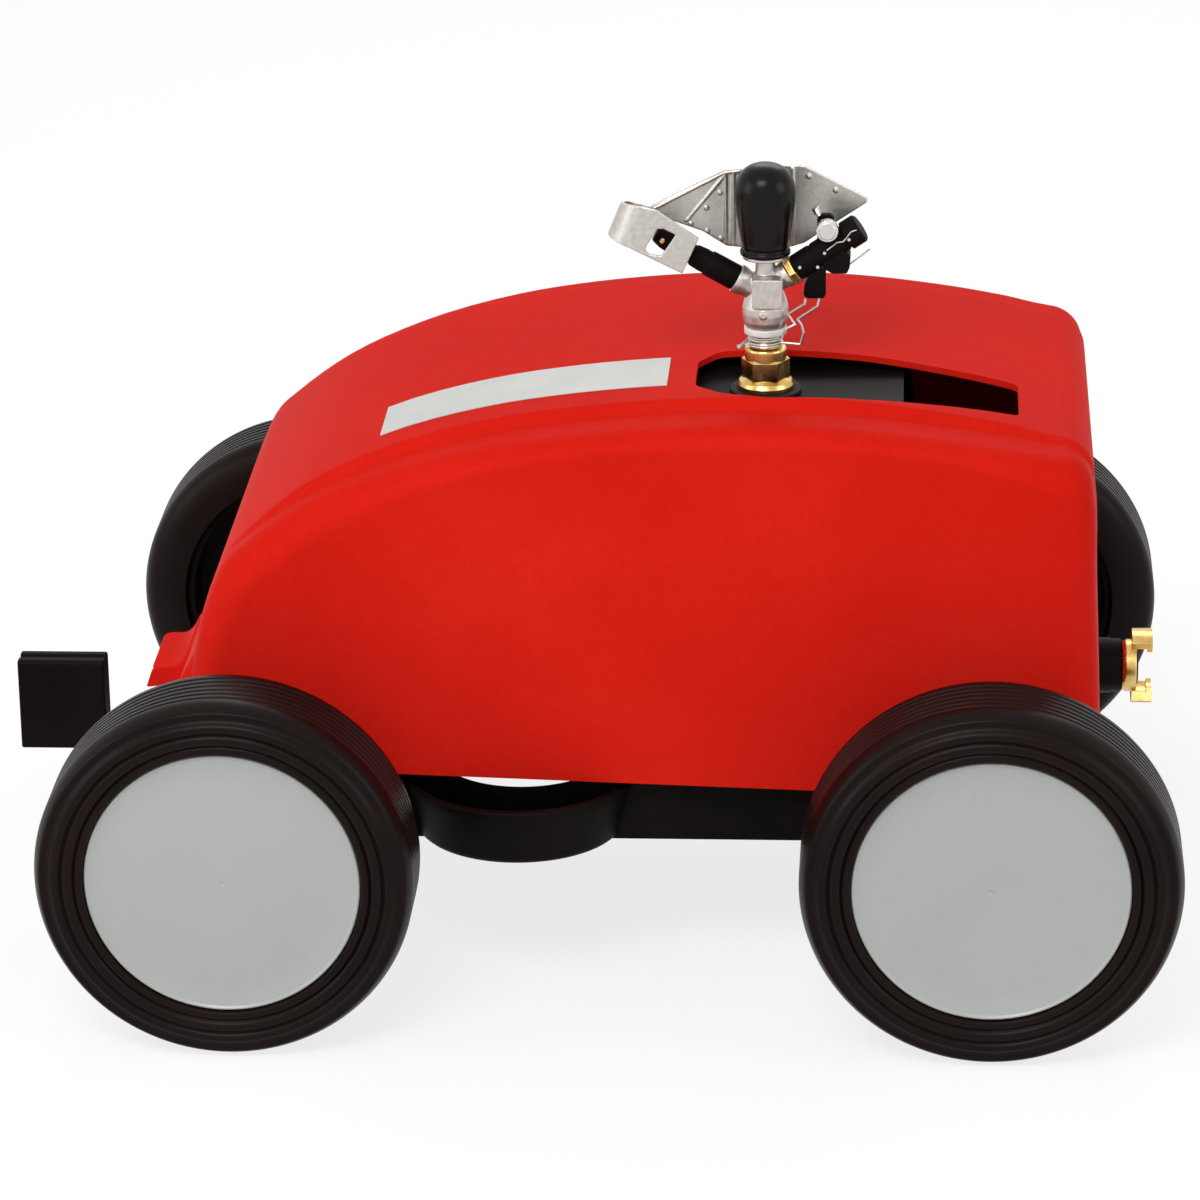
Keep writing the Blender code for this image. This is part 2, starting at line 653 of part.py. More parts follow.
def side_wall_y(z):
    """The side walls lean out a little towards their foot."""
    share = (0.43 - z) / (0.43 - HOOD_FOOT_Z)
    return HOOD_SIDE_TOP_Y + (HOOD_SIDE_FOOT_Y - HOOD_SIDE_TOP_Y) * share


def make_hood():
    crown, shoulder, normals = hood_columns()
    count = len(crown)
    shape = bmesh.new()
    rows = []
    for k in range(count):
        nose_share = min(1.0, max(0.0, (12 - k) / 6))
        end_share = min(1.0, max(0.0, (14 - k) / 4, (k - count + 11) / 3))
        half = hood_section(crown[k], shoulder[k], normals[k], nose_share, end_share)
        foot = k in (0, count - 1)
        row = []
        for y, point in half:
            z = hood_foot_z(point.x) if foot else point.z
            row.append(Vector((point.x, y, z)))
        mirrored = [Vector((p.x, -p.y, p.z)) for p in reversed(row[1:])]
        rows.append([shape.verts.new(p) for p in mirrored + row])
    for low, high in zip(rows, rows[1:]):
        for k in range(len(low) - 1):
            shape.faces.new((low[k], low[k + 1], high[k + 1], high[k]))
    shape.faces.new([row[0] for row in rows])
    shape.faces.new([row[-1] for row in reversed(rows)])
    bmesh.ops.recalc_face_normals(shape, faces=shape.faces)
    hood = keep("hood", shape, "hood_red", (HINGE_X, 0, HINGE_Z))
    shell = hood.modifiers.new("wall", "SOLIDIFY")
    shell.thickness = HOOD_WALL
    shell.offset = -1
    shell.use_even_offset = True

    lug_y = HINGE_POST_Y + HINGE_POST_WIDTH / 2 + GAP
    lug = arc((HINGE_X, HINGE_Z), HINGE_POST_HALF_DEPTH, -90, 90, 9)
    lug += [(-0.2960, HINGE_Z + HINGE_POST_HALF_DEPTH), (-0.3060, HINGE_Z - HINGE_POST_HALF_DEPTH)]
    lugs = [extruded(lug, "Y", *sorted((s * lug_y, s * (lug_y + HINGE_LUG_WIDTH)))) for s in (-1, 1)]
    lip = rounded_rectangle((NOSE_LIP_FRONT_X, -0.3045), (-NOSE_LIP_HALF_WIDTH, NOSE_LIP_HALF_WIDTH), 0.006, 3)
    lip = extruded(lip, "Z", NOSE_LIP_BOTTOM_Z, NOSE_LIP_BOTTOM_Z + NOSE_LIP_THICKNESS)
    shaped(hood, "UNION", *lugs, lip)

    slot = [
        (0.0960, -0.1195), (0.1150, -0.1385), (0.1490, -0.1490), (0.2200, -0.1440), (0.3360, -0.1260),
        (0.3360, -0.0540), (0.2200, -0.0400), (0.1460, -0.0360), (0.1110, -0.0415), (0.0960, -0.0645),
    ]
    notch_half = COLLAR_RADIUS + NOTCH_CLEARANCE
    notch = arc((0, INLET_Z), notch_half, 0, 180, 13) + [(-notch_half, 0.10), (notch_half, 0.10)]
    pin_bore = cylinder(HINGE_PIN_RADIUS + RUNNING_FIT, "Y", (HINGE_X, 0, HINGE_Z), -0.170, 0.170, 16)
    shaped(hood, "DIFFERENCE", extruded(slot, "Z", 0.40, 0.50), extruded(notch, "X", 0.370, 0.43), pin_bore)


def make_label():
    """Blank strip that follows the crown of the hood."""
    crown = hood_columns()[0]
    xs = [LABEL_FRONT_X, *[p.x for p in crown if LABEL_FRONT_X < p.x < LABEL_REAR_X], LABEL_REAR_X]
    lower, upper = [], []
    for x in xs:
        before = max((p for p in crown if p.x <= x), key=lambda p: p.x)
        after = min((p for p in crown if p.x > x), key=lambda p: p.x)
        share = (x - before.x) / (after.x - before.x)
        z = before.z + (after.z - before.z) * share
        slope = (after.z - before.z) / (after.x - before.x)
        lift = math.sqrt(1 + slope**2)
        lower.append((x, z + GAP * lift))
        upper.append((x, z + (GAP + LABEL_THICKNESS) * lift))
    outline = lower + upper[::-1]
    label = extruded(outline, "Y", LABEL_LEFT_Y, LABEL_RIGHT_Y)
    keep("hood_label", label, "label_white", (HINGE_X, 0, HINGE_Z))


def make_hinge_pin():
    reach = HINGE_POST_Y + HINGE_POST_WIDTH / 2 + HINGE_LUG_WIDTH + 0.006
    pin = cylinder(HINGE_PIN_RADIUS, "Y", (HINGE_X, 0, HINGE_Z), -reach, reach, 16)
    keep("hood_hinge_pin", pin, "plated_steel")


def idler_x():
    return DRUM_X + (GEAR_TEETH + PINION_TEETH) * DRUM_MODULE / 2


def rotor_x():
    return idler_x() + (GEAR_TEETH + PINION_TEETH) * IDLER_MODULE / 2


def make_drive_frame():
    """Two side panels that stand on the tray, under the deck that the sprinkler is screwed to."""
    foot_z = TRAY_BOTTOM_Z + TRAY_WALL + GAP
    panel = [
        (-0.150, foot_z), (-0.120, foot_z), (-0.108, 0.152), (0.034, 0.152), (0.046, foot_z),
        (0.235, foot_z), (0.262, 0.360), (0.2500, 0.4385), (0.062, 0.4385), (-0.010, 0.350),
        (-0.100, 0.330), (-0.150, 0.240),
    ]
    half = SIDE_PANEL_THICKNESS / 2
    left = extruded(panel, "Y", -SIDE_PANEL_Y - half, -SIDE_PANEL_Y + half)
    frame = keep("drive_frame", left, "moulded_black")
    shaped(frame, "UNION", extruded(panel, "Y", SIDE_PANEL_Y - half, SIDE_PANEL_Y + half))
    deck = box((DECK_FRONT_X, DECK_REAR_X), (DECK_LEFT_Y, DECK_RIGHT_Y), (DECK_TOP_Z - DECK_THICKNESS, DECK_TOP_Z))
    pin_end = FIRST_GEAR_Y + GEAR_LAYER + GEAR_WIDTH + 0.003
    idler_pin = cylinder(IDLER_PIN_RADIUS, "Y", (idler_x(), 0, SHAFT_Z), SIDE_PANEL_Y, pin_end, 16)
    shaped(frame, "UNION", deck, idler_pin)
    drum_bore = DRUM_SHAFT_RADIUS + RUNNING_FIT
    rotor_bore = ROTOR_SHAFT_RADIUS + RUNNING_FIT
    reach = SIDE_PANEL_Y + 0.01
    shaped(
        frame, "DIFFERENCE",
        cylinder(drum_bore, "Y", (DRUM_X, 0, SHAFT_Z), -reach, reach, 16),
        cylinder(rotor_bore, "Y", (rotor_x(), 0, SHAFT_Z), -reach, reach, 16),
        cylinder(THREAD_RADIUS + GAP, "Z", (SPRINKLER_X, SPRINKLER_Y, 0), 0.42, 0.46, 20),
    )


def make_winch():
    """Rope drum with its shaft, gear and rope, and the idler gear between drum and turbine."""
    axis = (DRUM_X, 0, SHAFT_Z)
    bore = DRUM_SHAFT_RADIUS + GAP
    web = DRUM_HALF_WIDTH - DRUM_FLANGE
    drum = [
        (bore, -DRUM_HALF_WIDTH), (DRUM_FLANGE_RADIUS, -DRUM_HALF_WIDTH), (DRUM_FLANGE_RADIUS, -web),
        (DRUM_CORE_RADIUS, -web), (DRUM_CORE_RADIUS, web), (DRUM_FLANGE_RADIUS, web),
        (DRUM_FLANGE_RADIUS, DRUM_HALF_WIDTH), (bore, DRUM_HALF_WIDTH),
    ]
    keep("rope_drum", turned(drum, "Y", axis, 24), "gear_plastic", axis)
    rope_side = web - GAP
    rope = [
        (DRUM_CORE_RADIUS + GAP, -rope_side), (ROPE_OUTER_RADIUS, -rope_side),
        (ROPE_OUTER_RADIUS, rope_side), (DRUM_CORE_RADIUS + GAP, rope_side),
    ]
    keep("wound_rope", turned(rope, "Y", axis, 24), "rope_fibre", axis)
    shaft_start = -SIDE_PANEL_Y - 0.006
    shaft_end = FIRST_GEAR_Y + GEAR_WIDTH + 0.002
    keep("drum_shaft", cylinder(DRUM_SHAFT_RADIUS, "Y", axis, shaft_start, shaft_end, 16), "plated_steel", axis)
    outline = gear_outline(GEAR_TEETH, DRUM_MODULE, (DRUM_X, SHAFT_Z))
    gear = extruded(outline, "Y", FIRST_GEAR_Y, FIRST_GEAR_Y + GEAR_WIDTH)
    gear = keep("drum_gear", gear, "gear_plastic", axis)
    shaped(gear, "DIFFERENCE", cylinder(bore, "Y", axis, FIRST_GEAR_Y - 0.01, FIRST_GEAR_Y + 0.03, 16))

    idler_axis = (idler_x(), 0, SHAFT_Z)
    second_y = FIRST_GEAR_Y + GEAR_LAYER
    small = gear_outline(PINION_TEETH, DRUM_MODULE, (idler_x(), SHAFT_Z), 0.5)
    large = gear_outline(GEAR_TEETH, IDLER_MODULE, (idler_x(), SHAFT_Z))
    idler = extruded(small, "Y", FIRST_GEAR_Y, second_y + 0.001)
    idler = keep("idler_gear", idler, "gear_plastic", idler_axis)
    shaped(idler, "UNION", extruded(large, "Y", second_y, second_y + GEAR_WIDTH))
    pin_bore = IDLER_PIN_RADIUS + RUNNING_FIT
    shaped(idler, "DIFFERENCE", cylinder(pin_bore, "Y", idler_axis, FIRST_GEAR_Y - 0.01, second_y + 0.03, 16))


def make_turbine():
    """Housing on the left panel, its cover, and the rotor whose shaft ends in the first pinion."""
    axis = (rotor_x(), 0, SHAFT_Z)
    inner = TURBINE_Y - GAP
    outer = inner - TURBINE_LENGTH
    shaft_bore = ROTOR_SHAFT_RADIUS + RUNNING_FIT
    cup = [
        (shaft_bore, inner), (TURBINE_RADIUS, inner), (TURBINE_RADIUS, outer),
        (TURBINE_RADIUS - TURBINE_WALL, outer), (TURBINE_RADIUS - TURBINE_WALL, inner - TURBINE_WALL),
        (shaft_bore, inner - TURBINE_WALL),
    ]
    housing = keep("turbine_housing", turned(cup, "Y", axis, 18), "moulded_black")
    riser_boss = turned(
        [(0, 0.225), (OUTLET_BOSS_RADIUS, 0.225), (OUTLET_BOSS_RADIUS, 0.265), (PIPE_BORE_RADIUS, 0.265),
         (PIPE_BORE_RADIUS, 0.245), (0, 0.245)], "Z", (SPRINKLER_X, SPRINKLER_Y, 0), 16)
    inlet_boss = turned(
        [(0, rotor_x() + 0.022), (INLET_BOSS_RADIUS, rotor_x() + 0.022), (INLET_BOSS_RADIUS, INLET_BOSS_END_X),
         (PIPE_BORE_RADIUS, INLET_BOSS_END_X), (PIPE_BORE_RADIUS, INLET_BOSS_END_X - 0.012),
         (0, INLET_BOSS_END_X - 0.012)], "X", (0, INLET_BOSS_Y, INLET_BOSS_Z), 16)
    shaped(housing, "UNION", riser_boss)
    shaped(housing, "UNION", inlet_boss)
    cavity_radius = TURBINE_RADIUS - TURBINE_WALL
    cavity = cylinder(cavity_radius, "Y", axis, outer - 0.01, inner - TURBINE_WALL, 18)
    shaped(housing, "DIFFERENCE", cavity)

    lid = cylinder(TURBINE_RADIUS + 0.002, "Y", axis, outer - 0.004 - GAP, outer - GAP, 18)
    lid = keep("turbine_cover", lid, "moulded_black")
    shaped(lid, "DIFFERENCE", cylinder(shaft_bore, "Y", axis, outer - 0.0025, outer + 0.01, 16))

    blades = []
    step = 2 * math.pi / ROTOR_BLADES
    for k in range(ROTOR_BLADES):
        for radius, share in ((0.013, 0.36), (ROTOR_TIP_RADIUS, 0.10), (ROTOR_TIP_RADIUS, -0.02), (0.013, -0.30)):
            angle = (k - share) * step
            blades.append((rotor_x() + radius * math.cos(angle), SHAFT_Z + radius * math.sin(angle)))
    rotor = extruded(blades, "Y", outer + 0.008, inner - TURBINE_WALL - 0.008)
    rotor = keep("turbine_rotor", rotor, "gear_plastic", axis)
    pinion_y = FIRST_GEAR_Y + GEAR_LAYER
    pinion = gear_outline(PINION_TEETH, IDLER_MODULE, (rotor_x(), SHAFT_Z), 0.5)
    shaft = cylinder(ROTOR_SHAFT_RADIUS, "Y", axis, outer - 0.002, pinion_y + 0.001, 16)
    shaped(rotor, "UNION", shaft)
    shaped(rotor, "UNION", extruded(pinion, "Y", pinion_y, pinion_y + GEAR_WIDTH))


def make_water_line():
    """Claw coupling, collar, inlet pipe, stop valve, turbine pipe and riser."""
    line = (0, 0, INLET_Z)
    collar = [
        (COUPLING_BORE_RADIUS, COLLAR_FRONT_X), (COLLAR_RADIUS, COLLAR_FRONT_X), (COLLAR_RADIUS, COLLAR_REAR_X),
        (COUPLING_BORE_RADIUS, COLLAR_REAR_X),
    ]
    keep("inlet_collar", turned(collar, "X", line, 24), "moulded_black")

    start = COLLAR_REAR_X + GAP
    ring_end = start + 0.0115
    seat = COUPLING_BORE_RADIUS + 0.0055
    coupling = [
        (COUPLING_BORE_RADIUS, start), (0.0190, start), (0.0205, start + 0.003), (0.0205, ring_end),
        (seat, ring_end), (seat, ring_end - 0.003), (COUPLING_BORE_RADIUS, ring_end - 0.003),
    ]
    coupling = keep("inlet_coupling", turned(coupling, "X", line, 24), "brass")
    claws = []
    for middle in (90, 270):
        outer_arc = arc((0, INLET_Z), COUPLING_LUG_RADIUS, middle - 34, middle + 34, 6)
        inner_arc = arc((0, INLET_Z), 0.0175, middle + 34, middle - 34, 6)
        claws.append(extruded(outer_arc + inner_arc, "X", ring_end - 0.0035, COUPLING_REAR_X))
    shaped(coupling, "UNION", *claws)
    undercuts = []
    for middle in (90, 270):
        outer_arc = arc((0, INLET_Z), 0.0215, middle - 40, middle + 40, 6)
        inner_arc = arc((0, INLET_Z), 0.0160, middle + 40, middle - 40, 6)
        undercuts.append(extruded(outer_arc + inner_arc, "X", ring_end + GAP, COUPLING_REAR_X - 0.004))
    shaped(coupling, "DIFFERENCE", *undercuts)
    seal = [
        (COUPLING_BORE_RADIUS + GAP, ring_end - 0.003 + GAP), (seat - GAP, ring_end - 0.003 + GAP),
        (seat - GAP, ring_end), (seat - 0.002, ring_end + 0.0015), (COUPLING_BORE_RADIUS + GAP, ring_end + 0.0015),
    ]
    keep("inlet_seal", turned(seal, "X", line, 24), "seal_rubber")

    pipe_end = COLLAR_FRONT_X - GAP
    pipe_start = VALVE_REAR_X + GAP
    pipe = [
        (PIPE_BORE_RADIUS, pipe_start), (PIPE_RADIUS, pipe_start), (PIPE_RADIUS, pipe_end - 0.006),
        (0.014, pipe_end - 0.006), (0.014, pipe_end), (PIPE_BORE_RADIUS, pipe_end),
    ]
    keep("inlet_pipe", turned(pipe, "X", line, 16), "plated_steel")

    bore = PLUNGER_RADIUS + RUNNING_FIT
    bore_end = VALVE_REAR_X - 0.012
    valve = [
        (bore, VALVE_FRONT_X), (VALVE_RADIUS - 0.004, VALVE_FRONT_X), (VALVE_RADIUS, VALVE_FRONT_X + 0.004),
        (VALVE_RADIUS, VALVE_REAR_X - 0.010), (0.014, VALVE_REAR_X), (PIPE_BORE_RADIUS, VALVE_REAR_X),
        (PIPE_BORE_RADIUS, bore_end), (bore, bore_end),
    ]
    valve = keep("valve_body", turned(valve, "X", line, 18), "brass")
    foot = box((VALVE_OUTLET_X - 0.013, VALVE_OUTLET_X + 0.013), (-0.011, 0.011),
               (TRAY_BOTTOM_Z + TRAY_WALL + GAP, INLET_Z - VALVE_RADIUS + 0.003))
    outlet_end = -VALVE_RADIUS - 0.010
    outlet = turned(
        [(0, -VALVE_RADIUS + 0.004), (INLET_BOSS_RADIUS, -VALVE_RADIUS + 0.004), (INLET_BOSS_RADIUS, outlet_end),
         (PIPE_BORE_RADIUS, outlet_end), (PIPE_BORE_RADIUS, outlet_end + 0.010), (0, outlet_end + 0.010)],
        "Y", (VALVE_OUTLET_X, 0, INLET_Z), 16)
    shaped(valve, "UNION", foot, outlet)

    route = [
        (VALVE_OUTLET_X, outlet_end - 0.010, INLET_Z), (VALVE_OUTLET_X, outlet_end - 0.030, INLET_Z + 0.002),
        (VALVE_OUTLET_X - 0.010, INLET_BOSS_Y + 0.012, INLET_Z + 0.008),
        (VALVE_OUTLET_X - 0.035, INLET_BOSS_Y, INLET_Z + 0.016),
        (INLET_BOSS_END_X + 0.045, INLET_BOSS_Y, INLET_BOSS_Z - 0.002), (INLET_BOSS_END_X + 0.012, INLET_BOSS_Y, INLET_BOSS_Z),
    ]
    ends = (VALVE_OUTLET_X, outlet_end - GAP, INLET_Z), (INLET_BOSS_END_X + GAP, INLET_BOSS_Y, INLET_BOSS_Z)
    route = [ends[0], *smooth_curve(route, 2), ends[1]]
    keep("turbine_pipe", swept(route, PIPE_RADIUS, PIPE_BORE_RADIUS, 8), "moulded_black")

    thread_end = DECK_TOP_Z - 0.015
    riser = [
        (PIPE_BORE_RADIUS, 0.265 + GAP), (0.0115, 0.265 + GAP), (0.0115, 0.275), (PIPE_RADIUS, 0.275),
        (PIPE_RADIUS, 0.405), (0.0125, 0.412), (0.0125, thread_end - GAP), (PIPE_BORE_RADIUS, thread_end - GAP),
    ]
    keep("riser_pipe", turned(riser, "Z", (SPRINKLER_X, SPRINKLER_Y, 0), 16), "plated_steel")


def make_stop():
    """Stop plate at the nose, its bar, the plunger that shuts the valve and the return spring."""
    half = STOP_PLATE_HALF_WIDTH
    top = STOP_PLATE_TOP_Z
    corner = STOP_PLATE_CORNER
    groove = STOP_PLATE_GROOVE
    section = [(-half, STOP_PLATE_BOTTOM_Z), (half, STOP_PLATE_BOTTOM_Z)]
    section += arc((half - corner, top - corner), corner, 0, 90, 4)
    section += [(groove, top), (0, top - groove * 0.6), (-groove, top)]
    section += arc((-half + corner, top - corner), corner, 90, 180, 4)
    origin = (STOP_PLATE_REAR_X, 0, STOP_BAR_BOTTOM_Z)
    keep("stop_plate", extruded(section, "X", STOP_PLATE_FRONT_X, STOP_PLATE_REAR_X), "moulded_black", origin)

    bar_top = STOP_BAR_BOTTOM_Z + STOP_BAR_THICKNESS
    tab_end = STOP_TAB_X + STOP_TAB_THICKNESS
    tab_top = INLET_Z + PLUNGER_RADIUS + 0.004
    bar = [
        (STOP_PLATE_REAR_X + GAP, STOP_BAR_BOTTOM_Z), (tab_end, STOP_BAR_BOTTOM_Z), (tab_end, tab_top),
        (STOP_TAB_X, tab_top), (STOP_TAB_X, bar_top), (STOP_PLATE_REAR_X + GAP, bar_top),
    ]
    keep("stop_bar", extruded(bar, "Y", -STOP_BAR_HALF_WIDTH, STOP_BAR_HALF_WIDTH), "plated_steel", origin)
    plunger = cylinder(PLUNGER_RADIUS, "X", (0, 0, INLET_Z), tab_end + GAP, VALVE_FRONT_X + PLUNGER_ENGAGED, 16)
    keep("valve_plunger", plunger, "plated_steel", origin)

    start = tab_end + GAP + STOP_SPRING_WIRE
    end = VALVE_FRONT_X - GAP - STOP_SPRING_WIRE
    steps = STOP_SPRING_TURNS * 9
    coil = []
    for k in range(steps + 1):
        angle = 2 * math.pi * k / 9
        x = start + (end - start) * k / steps
        coil.append(Vector((x, STOP_SPRING_RADIUS * math.cos(angle), INLET_Z + STOP_SPRING_RADIUS * math.sin(angle))))
    free = least_gap(coil, 3 * STOP_SPRING_RADIUS) - 2 * STOP_SPRING_WIRE
    print(f"stop_spring: {free:.4f} m free between turns")
    keep("stop_spring", swept(coil, STOP_SPRING_WIRE, sides=4), "plated_steel")

    eye = box((TRAY_FRONT_X - 0.020, TRAY_FRONT_X - GAP), (-0.020, 0.020), (0.1332, 0.1525))
    eye = keep("rope_guide", eye, "white_plastic")
    flare = [
        (0, TRAY_FRONT_X - 0.03), (ROPE_EYE_RADIUS + 0.004, TRAY_FRONT_X - 0.03),
        (ROPE_EYE_RADIUS + 0.002, TRAY_FRONT_X - 0.020), (ROPE_EYE_RADIUS, TRAY_FRONT_X - 0.016),
        (ROPE_EYE_RADIUS, TRAY_FRONT_X + 0.01), (0, TRAY_FRONT_X + 0.01),
    ]
    shaped(eye, "DIFFERENCE", turned(flare, "X", (0, 0, ROPE_EYE_Z), 16))


def sprinkler_point(along, slope, axis_z, side):
    """Point on a slanted water tube: along its axis from the sprinkler's own axis."""
    return (SPRINKLER_X + side * along * math.cos(slope), SPRINKLER_Y, axis_z + along * math.sin(slope))


def make_sprinkler_base():
    """Rubber washer, brass base with its hexagon, and the white thrust ring."""
    centre = (SPRINKLER_X, SPRINKLER_Y, 0)
    washer_bottom = DECK_TOP_Z + GAP
    washer_top = washer_bottom + WASHER_THICKNESS
    washer = [
        (THREAD_RADIUS + GAP, washer_bottom), (WASHER_RADIUS, washer_bottom),
        (WASHER_RADIUS, washer_top - 0.001), (WASHER_RADIUS - 0.001, washer_top), (THREAD_RADIUS + GAP, washer_top),
    ]
    keep("base_washer", turned(washer, "Z", centre, 20), "seal_rubber")

    flange_bottom = washer_top + GAP
    flange_top = flange_bottom + BASE_FLANGE_HEIGHT
    hex_top = flange_top + HEX_HEIGHT
    sleeve_top = hex_top + SLEEVE_HEIGHT
    shoulder_top = sleeve_top + SHOULDER_HEIGHT
    base = [
        (WATERWAY_RADIUS, DECK_TOP_Z - 0.015), (THREAD_RADIUS, DECK_TOP_Z - 0.015), (THREAD_RADIUS, flange_bottom),
        (BASE_FLANGE_RADIUS, flange_bottom), (BASE_FLANGE_RADIUS, flange_bottom + 0.003),
        (SLEEVE_RADIUS, flange_top + 0.001), (SLEEVE_RADIUS, sleeve_top),
        (NECK_RADIUS + 0.001, shoulder_top), (SPINDLE_RADIUS, shoulder_top + 0.0005), (SPINDLE_RADIUS, SPINDLE_TOP_Z),
        (WATERWAY_RADIUS, SPINDLE_TOP_Z),
    ]
    base = keep("sprinkler_base", turned(base, "Z", centre, 20), "brass")
    hexagon = arc((SPRINKLER_X, SPRINKLER_Y), HEX_RADIUS, 0, 300, 6)
    nut = extruded(hexagon, "Z", flange_top - 0.002, hex_top)
    shaped(base, "UNION", nut)
    shaped(base, "DIFFERENCE", cylinder(WATERWAY_RADIUS, "Z", centre, flange_top - 0.02, hex_top + 0.02, 20))

    inner = SPINDLE_RADIUS + RUNNING_FIT
    ring = [(inner, RING_Z), (RING_RADIUS, RING_Z), (RING_RADIUS, RING_Z + RING_THICKNESS), (inner, RING_Z + RING_THICKNESS)]
    keep("thrust_ring", turned(ring, "Z", centre, 20), "white_plastic", centre)


def make_sprinkler_body():
    """Cast body with its bearing bore, two slanted arms and a bare square pad."""
    centre = (SPRINKLER_X, SPRINKLER_Y, 0)
    origin = (SPRINKLER_X, SPRINKLER_Y, NECK_TOP_Z)
    bottom = RING_Z + RING_THICKNESS + GAP
    bore = SPINDLE_RADIUS + RUNNING_FIT
    body = [
        (0, SPINDLE_TOP_Z + 0.002), (bore, SPINDLE_TOP_Z + 0.002), (bore, bottom), (0.0145, bottom),
        (0.0164, bottom + 0.006), (BODY_RADIUS, bottom + 0.013), (0.0163, bottom + 0.022),
        (0.0130, bottom + 0.032), (0.0086, bottom + 0.041), (NECK_RADIUS, bottom + 0.046),
        (NECK_RADIUS, NECK_TOP_Z), (0, NECK_TOP_Z),
    ]
    body = keep("sprinkler_body", turned(body, "Z", centre, 20), "cast_aluminium", origin)
    nozzle_way = (-math.cos(NOZZLE_SLOPE), 0, math.sin(NOZZLE_SLOPE))
    spreader_way = (math.cos(SPREADER_SLOPE), 0, math.sin(SPREADER_SLOPE))
    left_boss = turned(
        [(0, 0.008), (0.0095, 0.008), (ARM_BOSS_RADIUS, NOZZLE_START - 0.003), (ARM_BOSS_RADIUS, NOZZLE_START - GAP),
         (0, NOZZLE_START - GAP)], centre=(SPRINKLER_X, SPRINKLER_Y, NOZZLE_AXIS_Z), along=nozzle_way, steps=20)
    right_boss = turned(
        [(0, 0.008), (0.0085, 0.008), (0.0100, SPREADER_NUT_START - 0.004),
         (0.0100, SPREADER_NUT_START - GAP), (0, SPREADER_NUT_START - GAP)],
        centre=(SPRINKLER_X, SPRINKLER_Y, SPREADER_AXIS_Z), along=spreader_way, steps=20)
    shaped(body, "UNION", left_boss)
    shaped(body, "UNION", right_boss)
    pad = box((SPRINKLER_X - 0.0095, SPRINKLER_X + 0.0130), (SPRINKLER_Y - 0.0185, SPRINKLER_Y - 0.004), (0.5050, 0.5270))
    pad_edges = [e for e in pad.edges if abs(e.verts[0].co.y - e.verts[1].co.y) > 0.01]
    bmesh.ops.bevel(pad, geom=pad_edges, offset=0.002, segments=2, affect="EDGES", profile=0.5)
    shaped(body, "UNION", pad)
    shaped(body, "DIFFERENCE", cylinder(bore, "Z", centre, bottom - 0.01, SPINDLE_TOP_Z + 0.002, 20))


